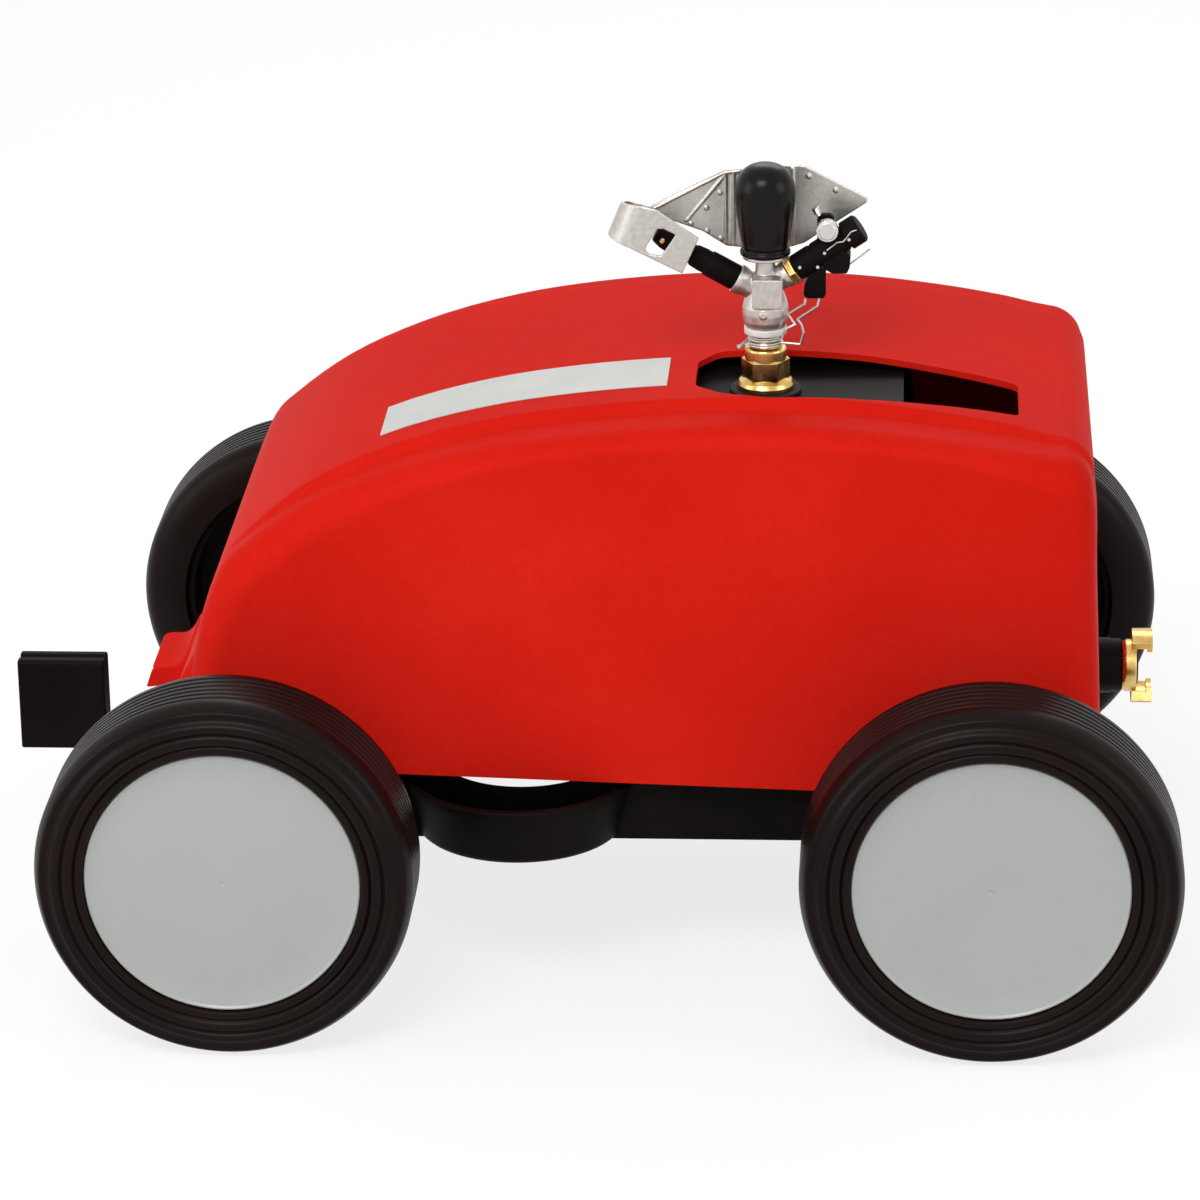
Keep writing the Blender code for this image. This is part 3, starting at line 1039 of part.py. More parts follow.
def make_nozzles():
    """Main nozzle tube with its tip, and the spreader tube with its brass nut and trip block."""
    origin = (SPRINKLER_X, SPRINKLER_Y, NECK_TOP_Z)
    way = (-math.cos(NOZZLE_SLOPE), 0, math.sin(NOZZLE_SLOPE))
    centre = (SPRINKLER_X, SPRINKLER_Y, NOZZLE_AXIS_Z)
    tube_end = NOZZLE_START + NOZZLE_LENGTH
    tube = [
        (0, NOZZLE_START), (NOZZLE_RADIUS, NOZZLE_START), (NOZZLE_RADIUS, NOZZLE_START + 0.024),
        (NOZZLE_RADIUS - 0.0010, NOZZLE_START + 0.026), (NOZZLE_RADIUS - 0.0010, tube_end), (0, tube_end),
    ]
    keep("nozzle_tube", turned(tube, centre=centre, along=way, steps=20), "moulded_black", origin)
    tip_end = tube_end + NOZZLE_TIP_LENGTH
    tip = [
        (0, tube_end + GAP), (NOZZLE_TIP_RADIUS, tube_end + GAP), (NOZZLE_TIP_RADIUS, tip_end - 0.003),
        (NOZZLE_TIP_RADIUS - 0.0015, tip_end), (NOZZLE_BORE_RADIUS, tip_end), (NOZZLE_BORE_RADIUS, tip_end - 0.012),
        (0, tip_end - 0.012),
    ]
    keep("nozzle_tip", turned(tip, centre=centre, along=way, steps=20), "brass", origin)

    way = (math.cos(SPREADER_SLOPE), 0, math.sin(SPREADER_SLOPE))
    centre = (SPRINKLER_X, SPRINKLER_Y, SPREADER_AXIS_Z)
    nut_end = SPREADER_NUT_START + SPREADER_NUT_LENGTH
    nut = [
        (0, SPREADER_NUT_START), (SPREADER_NUT_RADIUS, SPREADER_NUT_START), (SPREADER_NUT_RADIUS, nut_end), (0, nut_end),
    ]
    keep("spreader_nut", turned(nut, centre=centre, along=way, steps=6), "brass", origin)
    start = nut_end + GAP
    end = start + SPREADER_LENGTH
    tube = [
        (0, start), (SPREADER_RADIUS, start), (SPREADER_RADIUS, end - SPREADER_CAP_LENGTH),
        (SPREADER_CAP_RADIUS, end - SPREADER_CAP_LENGTH + 0.001), (SPREADER_CAP_RADIUS, end - 0.002),
        (SPREADER_CAP_RADIUS - 0.002, end), (0, end),
    ]
    spreader = keep("spreader_tube", turned(tube, centre=centre, along=way, steps=20), "moulded_black", origin)
    ear = box((0.1860, 0.1985), (SPRINKLER_Y - 0.0045, SPRINKLER_Y + 0.0015), (0.5520, 0.5800))
    shaped(spreader, "UNION", ear)

    run = TRIP_BLOCK_REAR_X - SPRINKLER_X
    drop = (SPREADER_RADIUS + GAP) / math.cos(SPREADER_SLOPE)
    nut_corner_x = SPRINKLER_X + nut_end * math.cos(SPREADER_SLOPE) + SPREADER_NUT_RADIUS * math.sin(SPREADER_SLOPE)
    shoulder_x = nut_corner_x + 0.0020
    top_rear = SPREADER_AXIS_Z + run * math.tan(SPREADER_SLOPE) - drop
    top_front = SPREADER_AXIS_Z + (shoulder_x - SPRINKLER_X) * math.tan(SPREADER_SLOPE) - drop
    outline = [
        (TRIP_BLOCK_REAR_X, top_rear), (shoulder_x, top_front), (nut_corner_x, top_front - 0.0045),
        (nut_corner_x - 0.001, TRIP_BLOCK_FOOT_Z + 0.003), (nut_corner_x + 0.002, TRIP_BLOCK_FOOT_Z),
        (TRIP_BLOCK_REAR_X - 0.003, TRIP_BLOCK_FOOT_Z), (TRIP_BLOCK_REAR_X, TRIP_BLOCK_FOOT_Z + 0.003),
    ]
    half = TRIP_BLOCK_WIDTH / 2
    block = extruded(outline, "Y", SPRINKLER_Y - half, SPRINKLER_Y + half)
    keep("trip_block", block, "moulded_black", centre)


def make_knob():
    """Knurled screw in the ear of the spreader tube."""
    x, z = 0.1937, 0.5705
    front = SPRINKLER_Y - 0.0045 - GAP
    teeth = 20
    outline = []
    for k in range(2 * teeth):
        radius = KNOB_RADIUS - (0.0006 if k % 2 else 0.0)
        angle = math.pi * k / teeth
        outline.append((x + radius * math.cos(angle), z + radius * math.sin(angle)))
    knob = extruded(outline, "Y", front - 0.005 - KNOB_LENGTH, front - 0.005)
    knob = keep("spreader_knob", knob, "plated_steel", (x, front, z))
    shaped(knob, "UNION", cylinder(0.0045, "Y", (x, 0, z), front - 0.008, front, 16))


def ribbon(stations, thickness):
    """Upright wall through stations of (x, y, low z, high z, lean of its upper edge along X)."""
    shape = bmesh.new()
    plan = [Vector((x, y, 0)) for x, y, *_ in stations]
    rings = []
    for k, (x, y, low, high, lean) in enumerate(stations):
        along = plan[min(k + 1, len(plan) - 1)] - plan[max(k - 1, 0)]
        side = Vector((-along.y, along.x, 0)).normalized() * thickness / 2
        foot = Vector((x, y, low))
        head = Vector((x + lean, y, high))
        rings.append([shape.verts.new(p) for p in (foot - side, foot + side, head + side, head - side)])
    for low, high in zip(rings, rings[1:]):
        for k in range(4):
            shape.faces.new((low[k], low[(k + 1) % 4], high[(k + 1) % 4], high[k]))
    shape.faces.new(rings[0])
    shape.faces.new(rings[-1])
    return shape


def make_drive_arm():
    """Impact arm: window plate in front of the nozzle, curved spoon round its end, wings behind the dome."""
    sy = SPRINKLER_Y
    origin = (SPRINKLER_X, sy, NECK_TOP_Z)
    stations = [
        (0.0868, sy - 0.0220, 0.5340, 0.5590, 0.0112),
        (0.0600, sy - 0.0222, 0.5470, 0.5800, 0.0060),
        (0.0490, sy - 0.0215, 0.5525, 0.5850, 0.0),
        (0.0392, sy - 0.0170, 0.5570, 0.5872, 0.0),
        (0.0335, sy - 0.0095, 0.5590, 0.5880, 0.0),
        (0.0322, sy - 0.0010, 0.5595, 0.5880, 0.0),
        (0.0360, sy + 0.0075, 0.5595, 0.5875, 0.0),
        (0.0445, sy + 0.0130, 0.5600, 0.5850, 0.0),
        (0.0600, sy + 0.0150, 0.5690, 0.5835, 0.0),
        (0.0800, sy + 0.0185, 0.5670, 0.5900, 0.0),
        (0.1000, sy + 0.0225, 0.5580, 0.5975, 0.0),
        (0.1175, sy + 0.0262, 0.5460, 0.6050, 0.0),
        (0.1290, sy + 0.0268, 0.5450, 0.6055, 0.0),
        (0.1640, sy + 0.0268, 0.5460, 0.6080, 0.0),
        (0.1760, sy + 0.0255, 0.5500, 0.6085, 0.0),
        (0.1960, sy + 0.0215, 0.5640, 0.6000, 0.0),
        (0.2180, sy + 0.0170, 0.5795, 0.5905, 0.0),
        (0.2225, sy + 0.0160, 0.5830, 0.5875, 0.0),
    ]
    arm = keep("drive_arm", ribbon(stations, ARM_THICKNESS), "cast_aluminium", origin)
    hub_bottom = NECK_TOP_Z + GAP
    hub_top = hub_bottom + ARM_HUB_THICKNESS
    hub = cylinder(ARM_HUB_RADIUS, "Z", (SPRINKLER_X, sy, 0), hub_bottom, hub_top, 24)
    web = box((SPRINKLER_X - 0.009, SPRINKLER_X + 0.009), (sy + 0.010, sy + 0.0268), (hub_bottom, hub_top))
    shaped(arm, "UNION", hub)
    shaped(arm, "UNION", web)
    window = [(0.0625, 0.5518), (0.0690, 0.5500), (0.0735, 0.5505), (0.0775, 0.5640), (0.0690, 0.5715), (0.0645, 0.5690)]
    shaped(
        arm, "DIFFERENCE",
        extruded(window, "Y", sy - 0.030, sy - 0.014),
        cylinder(ARM_PIN_RADIUS + RUNNING_FIT, "Z", (SPRINKLER_X, sy, 0), hub_bottom - 0.01, hub_top + 0.01, 16),
    )

    pin = [
        (0, NECK_TOP_Z + GAP), (ARM_PIN_RADIUS, NECK_TOP_Z + GAP), (ARM_PIN_RADIUS, ARM_PIN_TOP_Z - ARM_PIN_HEAD),
        (ARM_PIN_HEAD_RADIUS, ARM_PIN_TOP_Z - ARM_PIN_HEAD), (ARM_PIN_HEAD_RADIUS, ARM_PIN_TOP_Z), (0, ARM_PIN_TOP_Z),
    ]
    keep("arm_pin", turned(pin, "Z", (SPRINKLER_X, sy, 0), 16), "plated_steel", origin)

    spring_start = hub_top + GAP + ARM_SPRING_WIRE
    spring_end = ARM_PIN_TOP_Z - ARM_PIN_HEAD - GAP - ARM_SPRING_WIRE
    steps = ARM_SPRING_TURNS * 9
    coil = []
    for k in range(steps + 1):
        angle = 2 * math.pi * k / 9
        z = spring_start + (spring_end - spring_start) * k / steps
        coil.append(Vector((SPRINKLER_X + ARM_SPRING_RADIUS * math.cos(angle), sy + ARM_SPRING_RADIUS * math.sin(angle), z)))
    free = least_gap(coil, 3 * ARM_SPRING_RADIUS) - 2 * ARM_SPRING_WIRE
    print(f"arm_spring: {free:.4f} m free between turns")
    keep("arm_spring", swept(coil, ARM_SPRING_WIRE, sides=4), "plated_steel", origin)

    wall = DOME_WALL
    height = DOME_TOP_Z - DOME_BOTTOM_Z
    outer = [
        (DOME_RIM_RADIUS, 0.0), (DOME_RIM_RADIUS + 0.0005, 0.029), (DOME_RIM_RADIUS - 0.0008, 0.064),
        (DOME_RADIUS - 0.0037, 0.228), (DOME_RADIUS - 0.0014, 0.442), (DOME_RADIUS, 0.621), (DOME_RADIUS - 0.0006, 0.757),
        (DOME_RADIUS - 0.0037, 0.871), (DOME_RADIUS - 0.0092, 0.950), (0.0070, 0.989), (0, 1.0),
    ]
    inner = [
        (0, 1.0 - wall / height), (0.0110, 0.914), (DOME_RADIUS - wall - 0.0012, 0.771), (DOME_RADIUS - wall, 0.621),
        (DOME_RADIUS - wall - 0.0014, 0.442), (DOME_RADIUS - wall - 0.0037, 0.228), (DOME_RIM_RADIUS - wall, 0.0),
    ]
    profile = [(radius, DOME_BOTTOM_Z + height * share) for radius, share in outer + inner]
    keep("dome_cap", turned(profile, "Z", (SPRINKLER_X, sy, 0), 20), "moulded_black", origin)


def make_trip_wires():
    """Two wire collars wound on the brass neck, each with a prong that trips the turning direction."""
    radius = SPINDLE_RADIUS + RUNNING_FIT + TRIP_WIRE_RADIUS
    top = RING_Z - GAP - TRIP_WIRE_RADIUS
    per_turn = 12
    steps = round(TRIP_WIRE_TURNS * per_turn)
    drop = TRIP_WIRE_PITCH * TRIP_WIRE_TURNS
    for name, high, start, prong in (
        ("trip_wire_upper", top, -40, (0.0300, -0.0080, 0.5120)),
        ("trip_wire_lower", top - drop - TRIP_WIRE_PITCH, -65, (0.0230, -0.0190, 0.5080)),
    ):
        reach = Vector((prong[0], prong[1], 0))
        knee = Vector((0, 0, high)) + reach * 0.72
        tip = Vector(prong)
        coil = []
        for k in range(steps + 1):
            angle = math.radians(start) - 2 * math.pi * k / per_turn
            z = high - TRIP_WIRE_PITCH * k / per_turn
            coil.append(Vector((radius * math.cos(angle), radius * math.sin(angle), z)))
        tail = coil[-1].copy()
        tail.xy = tail.xy.normalized() * 0.0190
        centre = Vector((SPRINKLER_X, SPRINKLER_Y, 0))
        points = [p + centre for p in (tip, knee.lerp(tip, 0.08), knee.lerp(coil[0], 0.06), *coil, tail)]
        print(f"{name}: {least_gap(points[3:-1], 0.010) - 2 * TRIP_WIRE_RADIUS:.4f} m free between turns")
        keep(name, swept(points, TRIP_WIRE_RADIUS, sides=4), "plated_steel", (SPRINKLER_X, SPRINKLER_Y, high))


for thing in list(bpy.data.objects):
    bpy.data.objects.remove(thing, do_unlink=True)

# X is measured from a point near mid wheelbase and Z from the foot of a wheel whose radius is the axles' height.
# The cart's empty puts the middle of the length at the origin and the tyres on the ground.
cart = bpy.data.objects.new("cart", None)
cart.location.x = -(REAR_AXLE_X + TYRE_RADIUS + STOP_PLATE_FRONT_X) / 2
cart.location.z = TYRE_RADIUS - AXLE_Z
bpy.context.collection.objects.link(cart)

for end, axle_x in (("front", FRONT_AXLE_X), ("rear", REAR_AXLE_X)):
    for side_name, side in (("left", -1), ("right", 1)):
        make_wheel(f"{end}_{side_name}", axle_x, side)
    make_axle(f"{end}_axle", axle_x)
make_chassis()
make_hood()
make_label()
make_hinge_pin()
make_drive_frame()
make_winch()
make_turbine()
make_water_line()
make_stop()
make_sprinkler_base()
make_sprinkler_body()
make_nozzles()
make_knob()
make_drive_arm()
make_trip_wires()
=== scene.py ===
"""Self-travelling sprinkler cart: the looks of each piece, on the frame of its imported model."""

import math

import bmesh
import bpy
from mathutils import Matrix, Vector


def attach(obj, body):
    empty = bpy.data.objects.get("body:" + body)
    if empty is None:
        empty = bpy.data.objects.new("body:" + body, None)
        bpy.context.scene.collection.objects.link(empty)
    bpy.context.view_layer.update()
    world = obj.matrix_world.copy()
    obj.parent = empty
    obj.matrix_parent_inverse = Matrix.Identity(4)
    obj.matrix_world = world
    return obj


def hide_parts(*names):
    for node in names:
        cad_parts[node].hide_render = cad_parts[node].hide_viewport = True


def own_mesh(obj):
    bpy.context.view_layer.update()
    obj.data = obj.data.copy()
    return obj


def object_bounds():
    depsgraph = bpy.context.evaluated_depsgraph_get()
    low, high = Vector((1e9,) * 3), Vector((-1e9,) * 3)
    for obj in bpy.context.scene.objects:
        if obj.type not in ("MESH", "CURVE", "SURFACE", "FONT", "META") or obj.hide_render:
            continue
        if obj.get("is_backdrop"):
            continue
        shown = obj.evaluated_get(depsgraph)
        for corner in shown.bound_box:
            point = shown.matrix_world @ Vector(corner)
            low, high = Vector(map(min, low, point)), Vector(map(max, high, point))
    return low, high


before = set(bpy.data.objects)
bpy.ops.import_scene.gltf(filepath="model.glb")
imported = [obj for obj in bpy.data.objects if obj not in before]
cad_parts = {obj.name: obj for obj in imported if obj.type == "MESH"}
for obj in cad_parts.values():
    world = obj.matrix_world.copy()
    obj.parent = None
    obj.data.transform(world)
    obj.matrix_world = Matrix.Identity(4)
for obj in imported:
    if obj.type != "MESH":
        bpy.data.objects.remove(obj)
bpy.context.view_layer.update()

# The picture: a long lens a little above the cart's left side, a pale floor, and soft light from above the
# camera with a broad fill from both ends. The lens and its place are fitted to the photograph.
photo_width, lens_pixels = 1200, 5279.3
camera_place = Vector((0.25965, -3.8349, 1.7053))
camera_turn, camera_tilt, camera_roll = math.radians(-3.75), math.radians(20.89), math.radians(-0.87)
ahead = Vector((
    math.sin(camera_turn) * math.cos(camera_tilt),
    math.cos(camera_turn) * math.cos(camera_tilt),
    -math.sin(camera_tilt),
))
level = Vector((math.cos(camera_turn), -math.sin(camera_turn), 0))
upright = level.cross(ahead)
right = level * math.cos(camera_roll) + upright * math.sin(camera_roll)
up = upright * math.cos(camera_roll) - level * math.sin(camera_roll)
lens = bpy.data.cameras.new("long_lens")
lens.sensor_width = 36.0
lens.lens = lens.sensor_width * lens_pixels / photo_width
camera = bpy.data.objects.new("camera", lens)
camera.matrix_world = Matrix((
    (right.x, up.x, -ahead.x, camera_place.x),
    (right.y, up.y, -ahead.y, camera_place.y),
    (right.z, up.z, -ahead.z, camera_place.z),
    (0, 0, 0, 1),
))
bpy.context.collection.objects.link(camera)
bpy.context.scene.camera = camera
bpy.context.scene.view_settings.view_transform = "Standard"


def hang_softbox(name, place, target, size, watts):
    """Broad lamp that faces its target."""
    lamp = bpy.data.lights.new(name, "AREA")
    lamp.shape = "RECTANGLE"
    lamp.size, lamp.size_y = size
    lamp.energy = watts
    holder = bpy.data.objects.new(name, lamp)
    holder.location = place
    holder.rotation_euler = (Vector(target) - Vector(place)).to_track_quat("-Z", "Y").to_euler()
    bpy.context.collection.objects.link(holder)


hang_softbox("key_light", (-0.6, -2.6, 2.9), (0, 0, 0.25), (1.6, 1.2), 62)
hang_softbox("left_fill", (-3.0, -1.2, 1.4), (0, 0, 0.2), (1.8, 1.6), 22)
hang_softbox("right_fill", (3.2, -1.4, 1.6), (0, 0, 0.2), (1.8, 1.6), 20)
hang_softbox("back_light", (0.4, 2.8, 2.6), (0, 0, 0.3), (2.4, 1.4), 30)


class Wire:
    """A socket of a material. Arithmetic on it adds Math nodes."""

    def __init__(self, tree, socket):
        self.tree = tree
        self.socket = socket

    def node(self, kind, settings, inputs):
        """New node of a kind: its settings first, then the values or wires of its inputs."""
        made = self.tree.nodes.new(kind)
        for key, value in settings.items():
            if key == "stops":
                ramp = made.color_ramp
                while len(ramp.elements) < len(value):
                    ramp.elements.new(1.0)
                for element, (place, colour) in zip(ramp.elements, value):
                    element.position = place
                    element.color = (*colour, 1.0)
            else:
                setattr(made, key, value)
        for key, value in inputs.items():
            if isinstance(value, Wire):
                self.tree.links.new(value.socket, made.inputs[key])
            else:
                made.inputs[key].default_value = value
        return Wire(self.tree, made.outputs[0])

    def maths(self, operation, first, second):
        return self.node("ShaderNodeMath", {"operation": operation}, {0: first, 1: second})

    def __add__(self, other):
        return self.maths("ADD", self, other)

    def __radd__(self, other):
        return self.maths("ADD", other, self)

    def __mul__(self, other):
        return self.maths("MULTIPLY", self, other)

    def __rmul__(self, other):
        return self.maths("MULTIPLY", other, self)


# Studio floor and surroundings: a matt pale floor that shows white to the camera and keeps the shadow.


def straight_look(tree):
    """1 for a ray from the camera, or by way of metal or glass, which then show the backdrop too."""
    path = tree.nodes.new("ShaderNodeLightPath")
    look = Wire(tree, path.outputs["Is Camera Ray"])
    for ray in ("Is Glossy Ray", "Is Transmission Ray"):
        look = look.maths("MAXIMUM", look, Wire(tree, path.outputs[ray]))
    return look


surroundings = bpy.data.worlds.new("pale_studio")
bpy.context.scene.world = surroundings
surroundings.use_nodes = True
sky_tree = surroundings.node_tree
seen = straight_look(sky_tree)
sky_tree.nodes["Background"].inputs["Color"].default_value = (1, 1, 1, 1)
sky_tree.links.new((seen * 0.55 + 0.45).socket, sky_tree.nodes["Background"].inputs["Strength"])

floor_shape = bmesh.new()
bmesh.ops.create_grid(floor_shape, x_segments=1, y_segments=1, size=30)
floor_mesh = bpy.data.meshes.new("studio_floor")
floor_shape.to_mesh(floor_mesh)
floor_shape.free()
floor = bpy.data.objects.new("studio_floor", floor_mesh)
floor.location.z = -0.0005
bpy.context.collection.objects.link(floor)
floor_paint = bpy.data.materials.new("pale_floor")
floor_paint.use_nodes = True
floor_tree = floor_paint.node_tree
floor_tree.nodes["Principled BSDF"].inputs["Base Color"].default_value = (0.82, 0.82, 0.81, 1)
floor_tree.nodes["Principled BSDF"].inputs["Roughness"].default_value = 0.8
seen = straight_look(floor_tree)
glow = seen.node("ShaderNodeEmission", {}, {"Color": (1, 1, 1, 1), "Strength": 1.12})
surface = seen.node("ShaderNodeMixShader", {}, {0: seen * 0.70, 2: glow})
floor_tree.links.new(floor_tree.nodes["Principled BSDF"].outputs[0], surface.socket.node.inputs[1])
floor_tree.links.new(surface.socket, floor_tree.nodes["Material Output"].inputs["Surface"])
floor.data.materials.append(floor_paint)
floor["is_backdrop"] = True

# Chassis tray: one deep moulding in black plastic, with a round well on each side, axle tubes, hinge posts and
# a sill at the rear that carries the hood's edge. Its skin is finely grained, with a faint cloudy tone. Places
# are those of the cart's drawing, and CART_SHIFT takes them to the frame, whose zero is at mid length.
CART_SHIFT = Vector((-0.00675, 0, 0))


def new_finish(name, colour, roughness, metallic=0.0, **fixed):
    """Material, its shader's inputs, and the wire of the piece's own coordinates."""
    material = bpy.data.materials.new(name)
    material.use_nodes = True
    shader = material.node_tree.nodes["Principled BSDF"]
    shader.inputs["Base Color"].default_value = (*colour, 1)
    shader.inputs["Roughness"].default_value = roughness
    shader.inputs["Metallic"].default_value = metallic
    for key, value in fixed.items():
        shader.inputs[key.replace("_", " ")].default_value = value
    material.diffuse_color = (*colour, 1)
    tree = material.node_tree
    return material, shader, Wire(tree, tree.nodes.new("ShaderNodeTexCoord").outputs["Object"])


def feed(shader, socket, wire):
    """Links a wire to one of the shader's inputs."""
    wire.tree.links.new(wire.socket, shader.inputs[socket])


def speckle(place, scale, detail=3.0, rough=0.5):
    """Noise over the piece, from broad clouds to a fine grain."""
    values = {"Vector": place, "Scale": scale, "Detail": detail, "Roughness": rough}
    return place.node("ShaderNodeTexNoise", {}, values)


def tinted(amount, *stops):
    """Colours along an amount, each stop a place and its colour."""
    return amount.node("ShaderNodeValToRGB", {"stops": stops}, {0: amount})


def relief(height, strength, depth):
    """Fine bumps in the skin."""
    return height.node("ShaderNodeBump", {}, {"Strength": strength, "Distance": depth, "Height": height})


def arc(centre, radius, start, end, count):
    """Points along an arc, with its angles in degrees."""
    angles = [math.radians(start + (end - start) * k / (count - 1)) for k in range(count)]
    return [(centre[0] + radius * math.cos(a), centre[1] + radius * math.sin(a)) for a in angles]


AXES = {
    "X": (Vector((1, 0, 0)), Vector((0, 1, 0)), Vector((0, 0, 1))),
    "Y": (Vector((0, 1, 0)), Vector((1, 0, 0)), Vector((0, 0, 1))),
    "Z": (Vector((0, 0, 1)), Vector((1, 0, 0)), Vector((0, 1, 0))),
}


def turned(profile, axis="Z", centre=(0, 0, 0), steps=64, along=None):
    """Lathe shape from (radius, height) points, about an axis or a slanted direction."""
    if along is None:
        direction, first, second = AXES[axis]
    else:
        direction = Vector(along).normalized()
        first = Vector((0, 1, 0))
        second = direction.cross(first)
    shape = bmesh.new()
    rings = []
    for radius, height in profile:
        middle = Vector(centre) + direction * height
        if radius == 0:
            rings.append([shape.verts.new(middle)])
            continue
        angles = [2 * math.pi * k / steps for k in range(steps)]
        spokes = [first * math.cos(a) + second * math.sin(a) for a in angles]
        rings.append([shape.verts.new(middle + spoke * radius) for spoke in spokes])
    pairs = list(zip(rings, rings[1:]))
    if profile[0][0] != 0 or profile[-1][0] != 0:
        pairs.append((rings[-1], rings[0]))
    for low, high in pairs:
        for k in range(steps if len(low) + len(high) > 2 else 0):
            after = k + 1
            corners = [low[k % len(low)], low[after % len(low)], high[after % len(high)], high[k % len(high)]]
            shape.faces.new(list(dict.fromkeys(corners)))
    return shape


def softened(points, radius, count=3, closed=True):
    """Rounds the corners of an outline or a lathe profile."""
    points = [Vector(p) for p in points]
    made = []
    for k, corner in enumerate(points):
        at_end = not closed and k in (0, len(points) - 1)
        if at_end:
            made.append(tuple(corner))
            continue
        before, after = points[k - 1] - corner, points[(k + 1) % len(points)] - corner
        reach = min(radius, before.length * 0.45, after.length * 0.45)
        if reach < 1e-5 or before.angle(after) > math.radians(172):
            made.append(tuple(corner))
            continue
        start, end = corner + before.normalized() * reach, corner + after.normalized() * reach
        for step in range(count + 1):
            t = step / count
            made.append(tuple(start * (1 - t) ** 2 + corner * 2 * t * (1 - t) + end * t**2))
    return made


def extruded(outline, axis, low, high):
    """Plate or bar with the outline as its section, along an axis."""
    direction, first, second = AXES[axis]
    shape = bmesh.new()
    ends = []
    for level in (low, high):
        ends.append([shape.verts.new(first * p[0] + second * p[1] + direction * level) for p in outline])
    count = len(outline)
    shape.faces.new(ends[0])
    shape.faces.new(ends[1])
    for k in range(count):
        shape.faces.new((ends[0][k], ends[0][(k + 1) % count], ends[1][(k + 1) % count], ends[1][k]))
    return shape


def block(x, y, z):
    """Straight box between its ends on each axis."""
    return extruded([(x[0], y[0]), (x[1], y[0]), (x[1], y[1]), (x[0], y[1])], "Z", z[0], z[1])


def rod(radius, axis, centre, low, high, steps=32):
    """Straight round bar along an axis."""
    return turned([(0, low), (radius, low), (radius, high), (0, high)], axis, centre, steps)


def meshed(name, shape):
    """Mesh of a shape, its faces turned outward, moved from the drawing's zero to the frame's."""
    bmesh.ops.recalc_face_normals(shape, faces=shape.faces)
    bmesh.ops.translate(shape, verts=shape.verts, vec=CART_SHIFT)
    mesh = bpy.data.meshes.new(name)
    shape.to_mesh(mesh)
    shape.free()
    return mesh


def piece(name, shape, paint, body, *nodes, sharp=35):
    """Object on a body of the cart, in place of the named solids."""
    mesh = meshed(name, shape)
    mesh.shade_smooth()
    mesh.set_sharp_from_angle(angle=math.radians(sharp))
    mesh.materials.append(paint)
    made = bpy.data.objects.new(name, mesh)
    bpy.context.collection.objects.link(made)
    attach(made, body)
    if nodes:
        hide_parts(*nodes)
    return made


def settle(made, sharp=None):
    """Applies the modifiers of a piece to its mesh."""
    evaluated = made.evaluated_get(bpy.context.evaluated_depsgraph_get())
    mesh = bpy.data.meshes.new_from_object(evaluated)
    made.modifiers.clear()
    made.data = mesh
    if sharp is not None:
        mesh.shade_smooth()
        mesh.set_sharp_from_angle(angle=math.radians(sharp))
    return made


def shaped(made, operation, *shapes, sharp=35):
    """Adds or cuts shapes that don't overlap each other, and applies the result."""
    joined = bmesh.new()
    for shape in shapes:
        mesh = meshed("shape", shape)
        joined.from_mesh(mesh)
        bpy.data.meshes.remove(mesh)
    mesh = bpy.data.meshes.new("shape")
    joined.to_mesh(mesh)
    joined.free()
    tool = bpy.data.objects.new("shape", mesh)
    bpy.context.collection.objects.link(tool)
    change = made.modifiers.new("shape", "BOOLEAN")
    change.operation = operation
    change.solver = "EXACT"
    change.object = tool
    settle(made, sharp)
    bpy.data.objects.remove(tool, do_unlink=True)
    bpy.data.meshes.remove(mesh)
    return made


def eased(made, width, segments=2, angle=35):
    """Small rounds along sharp edges, applied, with the flat faces kept flat."""
    bevel = made.modifiers.new("ease", "BEVEL")
    bevel.width = width
    bevel.segments = segments
    bevel.limit_method = "ANGLE"
    bevel.angle_limit = math.radians(angle)
    bevel.harden_normals = False
    weigh = made.modifiers.new("weigh", "WEIGHTED_NORMAL")
    weigh.keep_sharp = True
    return settle(made)


black_plastic, shader, place = new_finish(
    "black_plastic", (0.006, 0.0044, 0.0040), 0.5, Specular_IOR_Level=0.04,
)
cloud = speckle(place, 14, 4)
grain = speckle(place, 900, 2)
feed(shader, "Base Color", tinted(cloud, (0.30, (0.0035, 0.0024, 0.0022)), (0.72, (0.0085, 0.0062, 0.0056))))
feed(shader, "Roughness", cloud * 0.22 + 0.36)
feed(shader, "Normal", relief(grain, 0.25, 0.0004))

tray_x, tray_y = (-0.292, 0.380), (-0.190, 0.190)
tray_bottom, tray_floor, tray_top, tray_wall = 0.119, 0.124, 0.185, 0.005
axle_places, axle_height = (-0.2435, 0.3175), 0.140
hinge_x, hinge_z = -0.268, 0.205
inlet_z = 0.188


def tray_outline(inset, corner):
    """Rounded outline of the tray, seen from above."""
    left, rear = tray_x[0] + inset + corner, tray_x[1] - inset - corner
    low, high = tray_y[0] + inset + corner, tray_y[1] - inset - corner
    outline = []
    for turn, middle in ((0, (rear, high)), (90, (left, high)), (180, (left, low)), (270, (rear, low))):
        outline += arc(middle, corner, turn, turn + 90, 10)
    return outline


